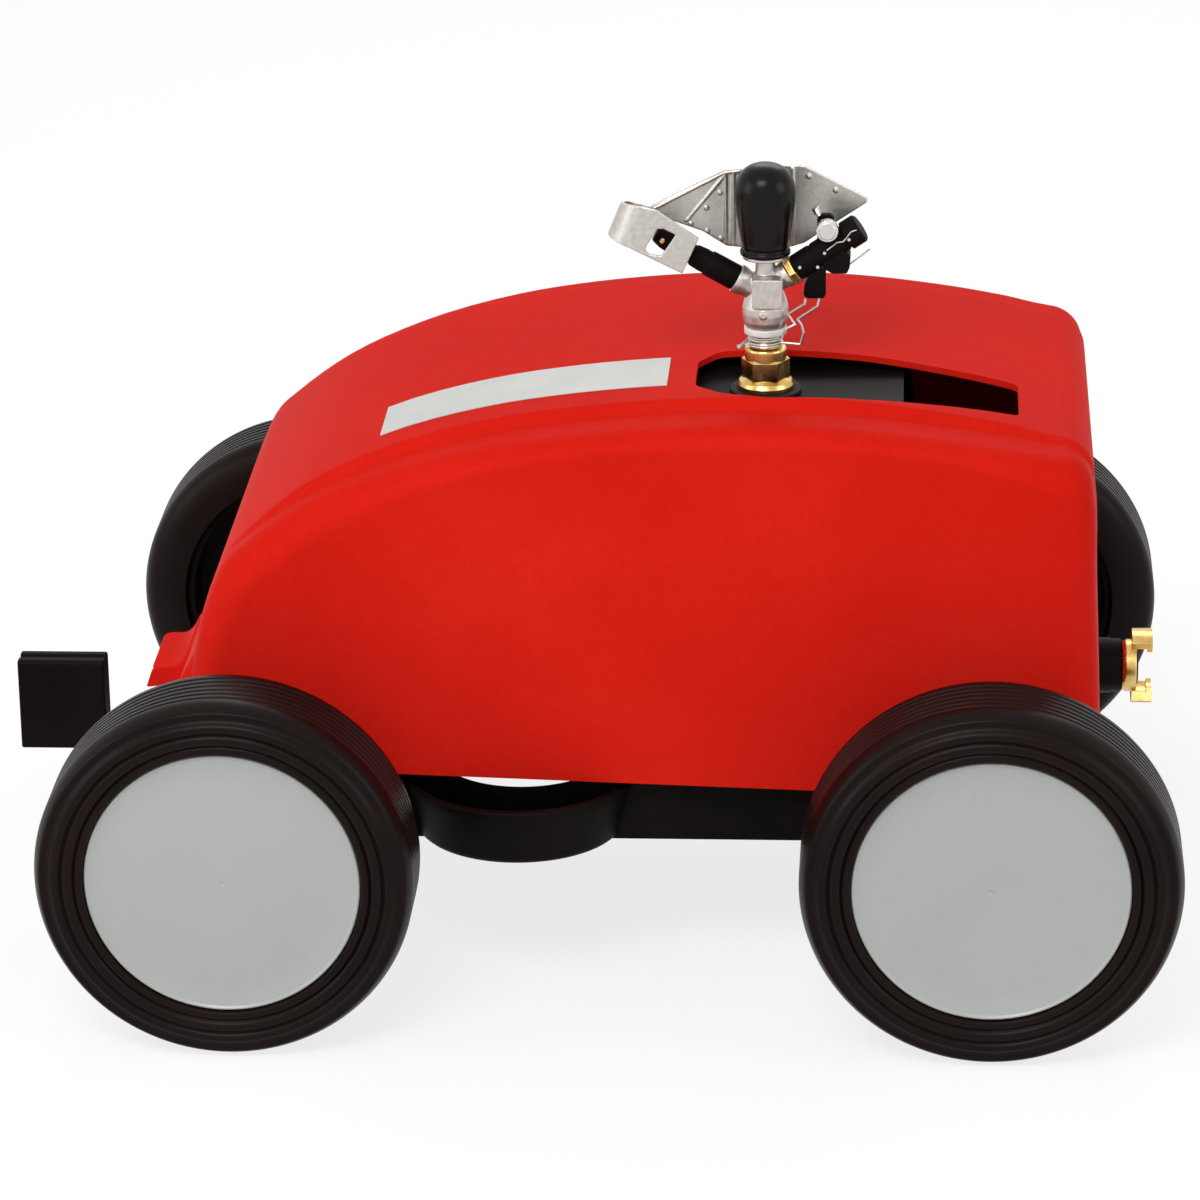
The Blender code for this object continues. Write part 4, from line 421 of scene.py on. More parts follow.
tray_shape = extruded(tray_outline(0, 0.030), "Z", tray_bottom, tray_top)
bottom_edges = [e for e in tray_shape.edges if all(abs(v.co.z - tray_bottom) < 1e-6 for v in e.verts)]
bmesh.ops.bevel(tray_shape, geom=bottom_edges, offset=0.006, segments=5, affect="EDGES", profile=0.5)
chassis = piece("chassis_tray", tray_shape, black_plastic, "cart", "chassis")
well_x, well_y = -0.0365, 0.164
well_outer = [
    (0, tray_bottom), (0.0725, tray_bottom), (0.0760, 0.1200), (0.0784, 0.1222), (0.0795, 0.1255),
    (0.0874, 0.1585), (0.0895, 0.1600), (0.0895, 0.1642), (0.0888, 0.165), (0, 0.165),
]
well_inner = [
    (0, tray_floor), (0.0715, tray_floor), (0.0742, 0.1262), (0.083, 0.163), (0.083, 0.195), (0, 0.195),
]
wells = [turned(well_outer, "Z", (well_x, side * well_y, 0), 96) for side in (-1, 1)]
hollows = [turned(well_inner, "Z", (well_x, side * well_y, 0), 96) for side in (-1, 1)]
tubes = []
for axle_x in axle_places:
    for side in (-1, 1):
        reach = sorted((side * 0.188, side * 0.25745))
        tubes.append(rod(0.014, "Y", (axle_x, 0, axle_height), *reach, 40))
shaped(chassis, "UNION", *tubes, *wells)
shaped(chassis, "DIFFERENCE", extruded(tray_outline(tray_wall, 0.025), "Z", tray_floor, 0.205))
shaped(chassis, "DIFFERENCE", *hollows)
floor_hole = arc((-0.043, 0.038), 0.066, 0, 180, 37) + arc((-0.043, -0.038), 0.066, 180, 360, 37)
low_front = block((-0.40, -0.235), (-0.3, 0.3), (0.150, 0.25))
shaped(chassis, "DIFFERENCE", extruded(floor_hole, "Z", 0.10, 0.126), low_front)
post = arc((hinge_x, hinge_z), 0.012, 0, 180, 17) + [(-0.280, 0.122), (-0.256, 0.122)]
posts = [extruded(post, "Y", side * 0.1445 - 0.0045, side * 0.1445 + 0.0045) for side in (-1, 1)]
rear_sill = block((0.378, 0.404), (-0.150, 0.150), (0.1552, 0.1602))
shaped(chassis, "UNION", *posts, rear_sill)
axle_bores = [rod(0.0083, "Y", (axle_x, 0, axle_height), -0.294, 0.294) for axle_x in axle_places]
hinge_bore = rod(0.0043, "Y", (hinge_x, 0, hinge_z), -0.19, 0.19, 24)
collar_hole = rod(0.0218, "X", (0, 0, inlet_z), 0.367, 0.430, 48)
bar_slot = block((-0.302, -0.272), (-0.0128, 0.0128), (0.124, 0.1315))
rope_slot = block((-0.302, -0.272), (-0.009, 0.009), (0.135, 0.2))
shaped(chassis, "DIFFERENCE", *axle_bores, hinge_bore, collar_hole, bar_slot, rope_slot)
eased(chassis, 0.0007)

# Axles, caps, hinge pin, water pipes and springs: zinc-plated steel rod, tube and wire, cut, pressed and bent.
# The plating is bright with faint cloudy patches.
plated_steel, shader, place = new_finish("plated_steel", (0.62, 0.61, 0.58), 0.32, 1.0)
patch = speckle(place, 60, 3)
feed(shader, "Base Color", tinted(patch, (0.3, (0.50, 0.49, 0.47)), (0.7, (0.72, 0.71, 0.68))))
feed(shader, "Roughness", patch * 0.25 + 0.18)
feed(shader, "Normal", relief(speckle(place, 1500, 2), 0.12, 0.0002))


def pin_outline(radius, chamfer, reach):
    """Round pin between -reach and reach, with a small chamfer at each end."""
    half = [(0, reach), (radius - chamfer, reach), (radius, reach - chamfer)]
    return [(r, -height) for r, height in half] + half[::-1]


for name, axle_x in zip(("front_axle", "rear_axle"), axle_places):
    axle = turned(pin_outline(0.008, 0.001, 0.31025), "Y", (axle_x, 0, axle_height), 40)
    piece(name + "_rod", axle, plated_steel, "cart", name)
hinge_pin = turned(pin_outline(0.004, 0.0006, 0.161), "Y", (hinge_x, 0, hinge_z), 32)
piece("hinge_pin_rod", hinge_pin, plated_steel, "cart", "hood_hinge_pin")

# Wheels: a black moulded rim, a hard rubber tyre with six grooves round its tread and three ridges on its
# side, a flat grey cover with a beaded edge in the tyre's lip, and a domed cap on the axle's end behind it.
tyre_rubber, shader, place = new_finish("tyre_rubber", (0.007, 0.0036, 0.0030), 0.36, Specular_IOR_Level=0.10)
cloud = speckle(place, 9, 5)
grain = speckle(place, 1100, 2)
feed(shader, "Base Color", tinted(cloud, (0.28, (0.0040, 0.0015, 0.0011)), (0.75, (0.0094, 0.0040, 0.0032))))
feed(shader, "Roughness", cloud * 0.22 + 0.24)
feed(shader, "Normal", relief(grain, 0.3, 0.0004))

cover_plastic, shader, place = new_finish("cover_plastic", (0.416, 0.426, 0.419), 0.38)
cloud = speckle(place, 7, 3)
grain = speckle(place, 700, 2)
feed(shader, "Base Color", tinted(cloud, (0.25, (0.392, 0.402, 0.394)), (0.8, (0.440, 0.450, 0.443))))
feed(shader, "Roughness", cloud * 0.14 + 0.22)
feed(shader, "Normal", relief(grain, 0.10, 0.0003))

tread = []
groove_slope = [(0.1400, 0.0019), (0.1394, 0.0011), (0.1387, 0.0006)]
for groove in (0.0190, 0.0114, 0.0038, -0.0038, -0.0114, -0.0190):
    tread += [(radius, groove + half) for radius, half in groove_slope]
    tread += [(radius, groove - half) for radius, half in reversed(groove_slope)]
tyre_profile = [
    (0.1022, 0.0309), (0.1022, 0.0372), (0.1028, 0.0386), (0.1040, 0.0394), (0.1060, 0.0397),
    (0.1078, 0.0393), (0.1086, 0.0385), (0.1092, 0.0381), (0.1098, 0.0386), (0.1106, 0.0400),
    (0.1122, 0.0409), (0.1145, 0.0412), (0.1166, 0.0407), (0.1178, 0.0396), (0.1184, 0.0388),
    (0.1190, 0.0389), (0.1198, 0.0400), (0.1212, 0.0410), (0.1234, 0.04125), (0.1254, 0.0407),
    (0.1268, 0.0394), (0.1278, 0.0380), (0.1290, 0.0371), (0.1305, 0.0366), (0.1318, 0.0367),
    (0.1330, 0.0371), (0.1342, 0.0370), (0.1352, 0.0362), (0.1364, 0.0342), (0.1378, 0.0314),
    (0.1389, 0.0286), (0.1396, 0.0262), (0.1400, 0.0240), *tread, (0.1400, -0.0250), (0.1392, -0.0285),
    (0.1372, -0.0325), (0.1340, -0.0362), (0.1290, -0.0392), (0.1230, -0.0408), (0.1160, -0.04125),
    (0.1090, -0.0408), (0.1056, -0.0400), (0.1045, -0.0388), (0.1045, 0.0303), (0.1022, 0.0306),
]
rim_profile = softened([
    (0.0083, -0.036), (0.016, -0.036), (0.017, 0.004), (0.0975, 0.004), (0.0982, -0.0303), (0.1042, -0.0303),
    (0.1042, 0.0301), (0.0982, 0.0301), (0.0975, 0.010), (0.0083, 0.010),
], 0.0022)
cover_profile = [
    (0, 0.0308), (0.1016, 0.0308), (0.1017, 0.0346), (0.1014, 0.0358), (0.1006, 0.0365), (0.0998, 0.0364),
    (0.0989, 0.0356), (0.0980, 0.0351), (0.0800, 0.0351), (0.0500, 0.0354), (0.0026, 0.0356),
    (0.0015, 0.0355), (0.0009, 0.0350), (0, 0.0348),
]
cap_profile = [
    (0.0083, 0.0103), (0.0122, 0.0103), (0.013, 0.0110), (0.013, 0.0160), (0.0123, 0.0185),
    (0.0104, 0.0199), (0.0075, 0.0203), (0, 0.0203), (0, 0.0178), (0.0083, 0.0178),
]
wheel_parts = {
    "tyre": (tyre_profile, tyre_rubber, 160), "rim": (rim_profile, black_plastic, 96),
    "cover": (cover_profile, cover_plastic, 128), "axle_cap": (cap_profile, plated_steel, 48),
}
wheel_y = 0.29375
for end, axle_x in zip(("front", "rear"), axle_places):
    for side_name, side in (("left", -1), ("right", 1)):
        hub = (axle_x, side * wheel_y, axle_height)
        for part, (profile, paint, steps) in wheel_parts.items():
            sided = [(radius, height * side) for radius, height in profile]
            body = "cart" if part == "axle_cap" else f"{end}_{side_name}_wheel"
            node = f"{end}_{side_name}_{part}"
            piece(node + "_fine", turned(sided, "Y", hub, steps), paint, body, node, sharp=32)

# Winch, turbine and drive frame under the hood: natural plastic gears and drum, a fibre rope, black mouldings
# and plain pipes. They show through the slot, the floor opening and below.
gear_plastic, shader, place = new_finish("gear_plastic", (0.68, 0.66, 0.58), 0.42)
cloud = speckle(place, 25, 3)
feed(shader, "Base Color", tinted(cloud, (0.3, (0.60, 0.575, 0.49)), (0.75, (0.74, 0.72, 0.65))))
feed(shader, "Roughness", cloud * 0.2 + 0.32)
feed(shader, "Normal", relief(speckle(place, 1200, 2), 0.1, 0.0003))

rope_fibre, shader, place = new_finish("rope_fibre", (0.50, 0.44, 0.30), 0.9)
lay = place.node("ShaderNodeTexWave", {"wave_type": "BANDS", "bands_direction": "DIAGONAL"},
                 {"Vector": place, "Scale": 160, "Distortion": 1.5, "Detail": 2})
feed(shader, "Base Color", tinted(lay, (0.1, (0.30, 0.25, 0.15)), (0.8, (0.62, 0.56, 0.40))))
feed(shader, "Normal", relief(lay, 0.6, 0.001))

turned_brass, shader, place = new_finish("turned_brass", (0.68, 0.45, 0.14), 0.24, 1.0)
cloud = speckle(place, 90, 3)
feed(shader, "Base Color", tinted(
    cloud, (0.25, (0.52, 0.33, 0.095)), (0.55, (0.72, 0.49, 0.17)), (0.85, (0.86, 0.66, 0.32)),
))
feed(shader, "Roughness", cloud * 0.22 + 0.14)
feed(shader, "Normal", relief(speckle(place, 1300, 2), 0.18, 0.0002))

inner_works = (
    (gear_plastic, ("turbine_rotor", "idler_gear", "rope_drum", "drum_gear")),
    (black_plastic, ("turbine_housing", "turbine_cover", "turbine_pipe", "drive_frame")),
    (plated_steel, ("drum_shaft", "valve_plunger", "arm_spring")),
    (rope_fibre, ("wound_rope",)),
    (turned_brass, ("valve_body",)),
)
for paint, nodes in inner_works:
    for node in nodes:
        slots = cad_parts[node].data.materials
        slots.clear()
        slots.append(paint)

sprinkler = (0.1475, -0.088, 0)
riser = softened([
    (0.0065, 0.2653), (0.0115, 0.2653), (0.0115, 0.275), (0.009, 0.2755), (0.009, 0.405), (0.0125, 0.412),
    (0.0125, 0.4257), (0.0065, 0.4257),
], 0.001)
piece("riser_tube", turned(riser, "Z", sprinkler, 40), plated_steel, "cart", "riser_pipe")
pipe = softened([
    (0.0065, 0.3003), (0.009, 0.3003), (0.009, 0.3657), (0.014, 0.3657), (0.014, 0.3717), (0.0065, 0.3717),
], 0.001)
piece("inlet_tube", turned(pipe, "X", (0, 0, inlet_z), 40), plated_steel, "cart", "inlet_pipe")

# Hose connection at the rear: a black collar through the hood's notch, and a cast brass claw coupling with two
# hooked lugs and a rubber ring inside.
collar = [
    (0.010, 0.372), (0.0207, 0.372), (0.0215, 0.373), (0.0215, 0.4115), (0.0208, 0.4125), (0.0208, 0.4185),
    (0.0200, 0.420), (0.010, 0.420),
]
piece("coupling_collar", turned(collar, "X", (0, 0, inlet_z), 64), black_plastic, "cart", "inlet_collar")
ring_profile = softened([
    (0.0100, 0.4203), (0.0188, 0.4203), (0.0205, 0.4236), (0.0205, 0.4318), (0.0155, 0.4318),
    (0.0155, 0.4288), (0.0100, 0.4288),
], 0.0010)
coupling_ring = turned(ring_profile, "X", (0, 0, inlet_z), 72)
coupling = piece("claw_coupling", coupling_ring, turned_brass, "cart", "inlet_coupling")


def claw_band(outer, inner, middle, half_turn, count):
    """Outline of a curved band about the inlet, seen along it."""
    start, end = middle - half_turn, middle + half_turn
    return arc((0, inlet_z), outer, start, end, count) + arc((0, inlet_z), inner, end, start, count)


lugs, hooks = [], []
for middle in (90, 270):
    lugs.append(extruded(softened(claw_band(0.029, 0.0175, middle, 34, 20), 0.0015), "X", 0.4283, 0.444))
    hooks.append(extruded(claw_band(0.0215, 0.0160, middle, 40, 24), "X", 0.4321, 0.4400))
shaped(coupling, "UNION", *lugs)
shaped(coupling, "DIFFERENCE", *hooks)
eased(coupling, 0.0013, 3)
seal_rubber, shader, place = new_finish("seal_rubber", (0.009, 0.008, 0.008), 0.7, Specular_IOR_Level=0.2)
feed(shader, "Normal", relief(speckle(place, 800, 2), 0.2, 0.0003))
seal = softened([
    (0.0103, 0.4291), (0.0152, 0.4291), (0.0152, 0.4318), (0.0135, 0.4333), (0.0103, 0.4333),
], 0.0007)
piece("coupling_seal", turned(seal, "X", (0, 0, inlet_z), 48), seal_rubber, "cart", "inlet_seal")

# Stop at the nose: a black plastic plate with a grooved, rounded top, on a flat steel bar that slides under
# the cart against a coiled spring. The rope runs in through a white eye.
plate_outline = [
    (-0.0125, 0.114), (0.0125, 0.114), *arc((0.0085, 0.184), 0.004, 0, 78, 7), (0.0042, 0.1878),
    (0.0026, 0.1862), (0, 0.1857), (-0.0026, 0.1862), (-0.0042, 0.1878),
    *arc((-0.0085, 0.184), 0.004, 102, 180, 7),
]
plate_shape = extruded(plate_outline, "X", -0.444, -0.3755)
stop_plate = piece("stop_plate_moulding", plate_shape, black_plastic, "stop", "stop_plate")
eased(stop_plate, 0.0016, 3, 50)
bar_outline = [
    (-0.3752, 0.1252), (0.2047, 0.1252), (0.2047, 0.2005), (0.2000, 0.2005), (0.2000, 0.1312),
    (-0.3752, 0.1312),
]
bar_shape = extruded(bar_outline, "Y", -0.0125, 0.0125)
stop_bar = piece("stop_bar_strip", bar_shape, plated_steel, "stop", "stop_bar")
eased(stop_bar, 0.0006)


def lofted(rings):
    """Closed skin over rings of points, with a flat face at each end."""
    shape = bmesh.new()
    loops = [[shape.verts.new(point) for point in ring] for ring in rings]
    for low, high in zip(loops, loops[1:]):
        for k in range(len(low)):
            after = (k + 1) % len(low)
            shape.faces.new((low[k], low[after], high[after], high[k]))
    shape.faces.new(loops[0])
    shape.faces.new(loops[-1])
    return shape


def swept(points, radius, sides=10):
    """Round wire through a row of points."""
    points = [Vector(p) for p in points]
    ways = [(b - a).normalized() for a, b in zip(points, points[1:])]
    ways = [ways[0]] + [(a + b).normalized() for a, b in zip(ways, ways[1:])] + [ways[-1]]
    side = ways[0].orthogonal().normalized()
    angles = [2 * math.pi * k / sides for k in range(sides)]
    rings = []
    for point, way in zip(points, ways):
        side = (side - way * side.dot(way)).normalized()
        other = way.cross(side)
        rings.append([point + (side * math.cos(a) + other * math.sin(a)) * radius for a in angles])
    return lofted(rings)


spring_x, spring_length, spring_radius = 0.206, 0.0327, 0.0115
spring_turns, turn_steps = 5, 24
spring_steps = spring_turns * turn_steps
coil = []
for k in range(spring_steps + 1):
    angle = 2 * math.pi * k / turn_steps
    across, up_or_down = spring_radius * math.cos(angle), spring_radius * math.sin(angle)
    coil.append((spring_x + spring_length * k / spring_steps, across, inlet_z + up_or_down))
spring = piece("stop_spring_wound", swept(coil, 0.001, 8), plated_steel, "cart", "stop_spring")
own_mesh(spring)

white_plastic, shader, place = new_finish("white_plastic", (0.76, 0.74, 0.69), 0.36)
cloud = speckle(place, 120, 3)
feed(shader, "Base Color", tinted(cloud, (0.3, (0.66, 0.64, 0.58)), (0.7, (0.82, 0.80, 0.76))))
feed(shader, "Roughness", cloud * 0.2 + 0.28)
eye_shape = block((-0.312, -0.2923), (-0.020, 0.020), (0.1332, 0.1525))
eye = piece("rope_eye_block", eye_shape, white_plastic, "cart", "rope_guide")
flare = [
    (0, -0.325), (0.0098, -0.325), (0.0082, -0.3125), (0.0066, -0.3095), (0.0054, -0.3050), (0.005, -0.300),
    (0.005, -0.28), (0, -0.28),
]
shaped(eye, "DIFFERENCE", turned(flare, "X", (0, 0, 0.143), 40))
eased(eye, 0.0012, 3)

# Hood: one thick red moulding, hinged at the nose. Its crown stands a step above a narrow strip on each side,
# the nose sweeps out to a small lip, and a long slot lets the sprinkler through. The skin is satin and finely
# grained.
hood_red, shader, place = new_finish("hood_red", (0.66, 0.015, 0.008), 0.48, Specular_IOR_Level=0.010)
cloud = speckle(place, 6, 4)
mottle = speckle(place, 240, 3, 0.6)
grain = speckle(place, 1500, 2)
blend = cloud * 0.7 + mottle * 0.3
feed(shader, "Base Color", tinted(
    blend, (0.30, (0.605, 0.0110, 0.0055)), (0.55, (0.670, 0.0150, 0.0080)), (0.78, (0.730, 0.0215, 0.0120)),
))
feed(shader, "Roughness", cloud * 0.14 + 0.40)
feed(shader, "Normal", relief(grain * 0.5 + mottle * 0.5, 0.16, 0.0005))


def foot_z(x):
    """Height of the hood's lower edge, which rises a little towards the nose."""
    return 0.1715 - 0.032 * (x - 0.064)


def through(points, per_span):
    """Smooth curve through unevenly spaced points."""
    points = [Vector(p) for p in points]
    gaps = [(b - a).length for a, b in zip(points, points[1:])]
    ways = [(points[1] - points[0]) / gaps[0]]
    for k in range(1, len(points) - 1):
        back, fore = (points[k] - points[k - 1]) / gaps[k - 1], (points[k + 1] - points[k]) / gaps[k]
        ways.append((fore * gaps[k - 1] + back * gaps[k]) / (gaps[k - 1] + gaps[k]))
    ways.append((points[-1] - points[-2]) / gaps[-1])
    curve = []
    for k, gap in enumerate(gaps):
        for step in range(per_span):
            t = step / per_span
            curve.append(points[k] * (2 * t**3 - 3 * t**2 + 1) + ways[k] * gap * (t**3 - 2 * t**2 + t)
                         + points[k + 1] * (3 * t**2 - 2 * t**3) + ways[k + 1] * gap * (t**3 - t**2))
    return [*curve, points[-1]]


front_line = [
    (-0.2860, foot_z(-0.2860)), (-0.2842, 0.2100), (-0.2825, 0.2350), (-0.2795, 0.2560),
    (-0.2775, 0.2680), (-0.2750, 0.2800), (-0.2735, 0.2860), (-0.2695, 0.2995),
]
nose_line = [
    (-0.3125, foot_z(-0.3125)), (-0.3015, 0.2105), (-0.2915, 0.2355), (-0.2815, 0.2560),
    (-0.2784, 0.2682), (-0.2754, 0.2802), (-0.2738, 0.2862), (-0.2698, 0.2997),
]
arch_line = [
    (-0.2635, 0.3150), (-0.2530, 0.3350), (-0.2375, 0.3490), (-0.1949, 0.3798), (-0.1379, 0.4062),
    (-0.0573, 0.4296), (0.0066, 0.4400), (0.0864, 0.4470), (0.1500, 0.4485), (0.2136, 0.4460),
    (0.2746, 0.4390), (0.3301, 0.4300), (0.3620, 0.4238),
]
rear_line = arc((0.3625, 0.3958), 0.028, 78, 3, 5) + [(0.3940, 0.320), (0.3975, 0.240), (0.4000, foot_z(0.4))]
step_share = [
    0.05, 0.08, 0.25, 0.68, 0.95, 1, 1, 1, 1, 1, 0.95, 0.80, 0.55, 0.50, 0.44, 0.36, 0.28, 0.20, 0.15,
    0.10, 0.10,
]
step_height, span_steps = 0.008, 4
shoulder_line = front_line + arch_line + rear_line
shoulder_points = [Vector(p) for p in shoulder_line]
crown_line = list(nose_line)
for k, share in enumerate(step_share, len(nose_line)):
    way = shoulder_points[min(k + 1, len(shoulder_points) - 1)] - shoulder_points[k - 1]
    rise = Vector((-way.y, way.x)).normalized() * step_height * share
    crown_line.append(tuple(shoulder_points[k] + rise))
shoulder_curve = through(shoulder_line, span_steps)
crown_curve = through(crown_line, span_steps)
nose_end = (len(nose_line) - 1) * span_steps


def skin_rows(shape, inset):
    """Rows of points over the hood, on its outer skin or at a depth inside it."""
    rows = []
    for k in range(len(shoulder_curve)):
        normals = []
        for curve in (shoulder_curve, crown_curve):
            way = curve[min(k + 1, len(curve) - 1)] - curve[max(k - 1, 0)]
            normals.append(Vector((-way.y, way.x)).normalized())
        shoulder, crown = shoulder_curve[k] - normals[0] * inset, crown_curve[k] - normals[1] * inset
        span = k / span_steps
        nose_share = max(0.0, min(1.0, (12 - span) / 6))
        end_share = max(0.0, min(1.0, max((14 - span) / 4, (span - 18) / 3)))
        end_share = end_share**2 * (3 - 2 * end_share)
        # Half widths of the crown and of its strip, and how far the strip's round reaches down the side wall.
        edge = 0.160 + 0.008 * nose_share - inset * 0.6
        strip, depth = 0.182 - 0.008 * end_share, 0.015 + 0.011 * end_share
        half = [(y, crown) for y in (0.0, 0.035, 0.070, 0.105, 0.132)] + [(edge - 0.0125, crown)]
        for step in range(1, 9):
            t = step / 8
            half.append((edge - 0.012 * (1 - t), crown.lerp(shoulder, t**2 * (3 - 2 * t))))
        half.append((edge + (strip - edge) * 0.5, shoulder))
        wall_y = 0.2045 + 0.004 * (0.43 - shoulder_curve[k].y) / 0.2585 - inset
        for step in range(0, 9):
            turn = math.radians(90) * step / 8
            drop = normals[0] * (depth - inset) * (1 - math.cos(turn))
            half.append((strip + (wall_y - strip) * math.sin(turn), shoulder - drop))
        at_foot = k in (0, len(shoulder_curve) - 1)
        points = [Vector((p.x, y, foot_z(p.x) if at_foot else p.y)) for y, p in half]
        mirrored = [Vector((p.x, -p.y, p.z)) for p in reversed(points[1:])]
        rows.append([shape.verts.new(p) for p in mirrored + points])
    for low, high in zip(rows, rows[1:]):
        for k in range(len(low) - 1):
            shape.faces.new((low[k], low[k + 1], high[k + 1], high[k]))
    shape.faces.new([row[0] for row in rows])
    shape.faces.new([row[-1] for row in rows])
    return rows


hood_shape = bmesh.new()
outer_rows, inner_rows = skin_rows(hood_shape, 0.0), skin_rows(hood_shape, 0.0048)
for outer, inner in ((outer_rows[0], inner_rows[0]), (outer_rows[-1], inner_rows[-1])):
    for k in range(len(outer) - 1):
        hood_shape.faces.new((outer[k], outer[k + 1], inner[k + 1], inner[k]))
for k in (0, -1):
    hood_shape.faces.new((outer_rows[0][k], outer_rows[-1][k], inner_rows[-1][k], inner_rows[0][k]))
hood = piece("hood_shell", hood_shape, hood_red, "hood", "hood", sharp=50)
lug = arc((hinge_x, hinge_z), 0.012, -90, 90, 15) + [(-0.2960, 0.217), (-0.3060, 0.193)]
lip_outline = [
    (-0.3045, 0.1909), (-0.3320, 0.1909), (-0.3329, 0.1913), (-0.3334, 0.1920), (-0.3333, 0.1928),
    (-0.3327, 0.1935), (-0.3314, 0.1938), (-0.3220, 0.1939), (-0.3180, 0.1945), (-0.3142, 0.1963),
    (-0.3106, 0.1992), (-0.3076, 0.2032), (-0.3044, 0.2100), (-0.2980, 0.2100),
]
lip_root, lip_length, lip_flat, lip_corner = -0.298, 0.033, 0.032, 0.006
lip_rings = []
for reach in (-0.038, -0.0376, -0.0365, -0.0348, -0.032, 0.032, 0.0348, 0.0365, 0.0376, 0.038):
    back = lip_corner - math.sqrt(lip_corner**2 - (abs(reach) - lip_flat) ** 2)
    kept = 1 - back / lip_length
    lip_rings.append([(lip_root + (x - lip_root) * kept, reach, z) for x, z in lip_outline])
flange = softened([
    (-0.3045, 0.1838), (-0.3225, 0.1790), (-0.3372, 0.1774), (-0.3380, 0.1784), (-0.3336, 0.1910),
    (-0.3045, 0.1925),
], 0.001)
lip_sides = [extruded(flange, "Y", *sorted((side * 0.0335, side * 0.0378))) for side in (-1, 1)]
hinge_lugs = [extruded(lug, "Y", *sorted((side * 0.1493, side * 0.1553))) for side in (-1, 1)]
shaped(hood, "UNION", *lip_sides, sharp=50)
shaped(hood, "UNION", lofted(lip_rings), *hinge_lugs, sharp=50)
slot_outline = softened([
    (0.0960, -0.1195), (0.1150, -0.1385), (0.1490, -0.1490), (0.2200, -0.1440), (0.3360, -0.1260),
    (0.3360, -0.0540), (0.2200, -0.0400), (0.1460, -0.0360), (0.1110, -0.0415), (0.0960, -0.0645),
], 0.006, 5)
notch_outline = arc((0, inlet_z), 0.026, 0, 180, 25) + [(-0.026, 0.10), (0.026, 0.10)]
slot, notch = extruded(slot_outline, "Z", 0.40, 0.50), extruded(notch_outline, "X", 0.370, 0.43)
hinge_hole = rod(0.0043, "Y", (hinge_x, 0, hinge_z), -0.170, 0.170, 24)
shaped(hood, "DIFFERENCE", slot, notch, hinge_hole, sharp=50)
weigh = hood.modifiers.new("weigh", "WEIGHTED_NORMAL")
weigh.keep_sharp = True
settle(hood)

# Label: a plain white plastic strip, under a millimetre thick, with a bare face. It is stuck on the crown in
# front of the slot, and bends with it.
label_white, shader, place = new_finish("label_white", (0.59, 0.592, 0.568), 0.40, Specular_IOR_Level=0.2)
cloud = speckle(place, 30, 3)
feed(shader, "Base Color", tinted(cloud, (0.3, (0.562, 0.565, 0.540)), (0.7, (0.618, 0.620, 0.596))))
feed(shader, "Roughness", cloud * 0.12 + 0.28)
label_start, label_length, label_steps = -0.140, 0.215, 60
label_rings = []
for k in range(label_steps + 1):
    x = label_start + label_length * k / label_steps
    after = next(i for i, p in enumerate(crown_curve) if i > nose_end and p.x > x)
    share = (x - crown_curve[after - 1].x) / (crown_curve[after].x - crown_curve[after - 1].x)
    line = crown_curve[after - 1].lerp(crown_curve[after], share)
    way = (crown_curve[after] - crown_curve[after - 1]).normalized()
    lifted = [line + Vector((-way.y, way.x)) * height for height in (0.0002, 0.0008, 0.0008, 0.0002)]
    label_rings.append([(p.x, y, p.y) for p, y in zip(lifted, (-0.118, -0.118, -0.053, -0.053))])
piece("bare_label_strip", lofted(label_rings), label_white, "hood", "hood_label", sharp=40)

# Sprinkler base: a rubber washer on the deck, a turned brass bearing with a flange and a hexagon, and a white
# thrust ring that the head turns on.
washer = softened([(0.0105, 0.4413), (0.0268, 0.4413), (0.0268, 0.4443), (0.0105, 0.4443)], 0.0010)
piece("washer_ring", turned(washer, "Z", sprinkler, 64), seal_rubber, "cart", "base_washer")
base_profile = softened([
    (0.0050, 0.4260), (0.0102, 0.4260), (0.0102, 0.4446), (0.0212, 0.4446), (0.0215, 0.4476),
    (0.0198, 0.4508), (0.0157, 0.4532), (0.0157, 0.4748), (0.0150, 0.4762), (0.0120, 0.4765),
    (0.0112, 0.4770), (0.0112, 0.4862), (0.0072, 0.4866), (0.0072, 0.5150), (0.0050, 0.5150),
], 0.0005)
base_shape = turned(base_profile, "Z", sprinkler, 64)
base = piece("brass_bearing", base_shape, turned_brass, "cart", "sprinkler_base")
hexagon = [
    (0, 0.4515), (0.0166, 0.4515), (0.0182, 0.4527), (0.0182, 0.4668), (0.0166, 0.4680), (0, 0.4680),
]
shaped(base, "UNION", turned(hexagon, "Z", sprinkler, 6))
shaped(base, "DIFFERENCE", rod(0.0050, "Z", sprinkler, 0.43, 0.49, 64))
eased(base, 0.0004, 2)
ring = softened([(0.0075, 0.4872), (0.0160, 0.4872), (0.0160, 0.4925), (0.0075, 0.4925)], 0.0010)
piece("thrust_ring_turned", turned(ring, "Z", sprinkler, 64), white_plastic, "cart", "thrust_ring")

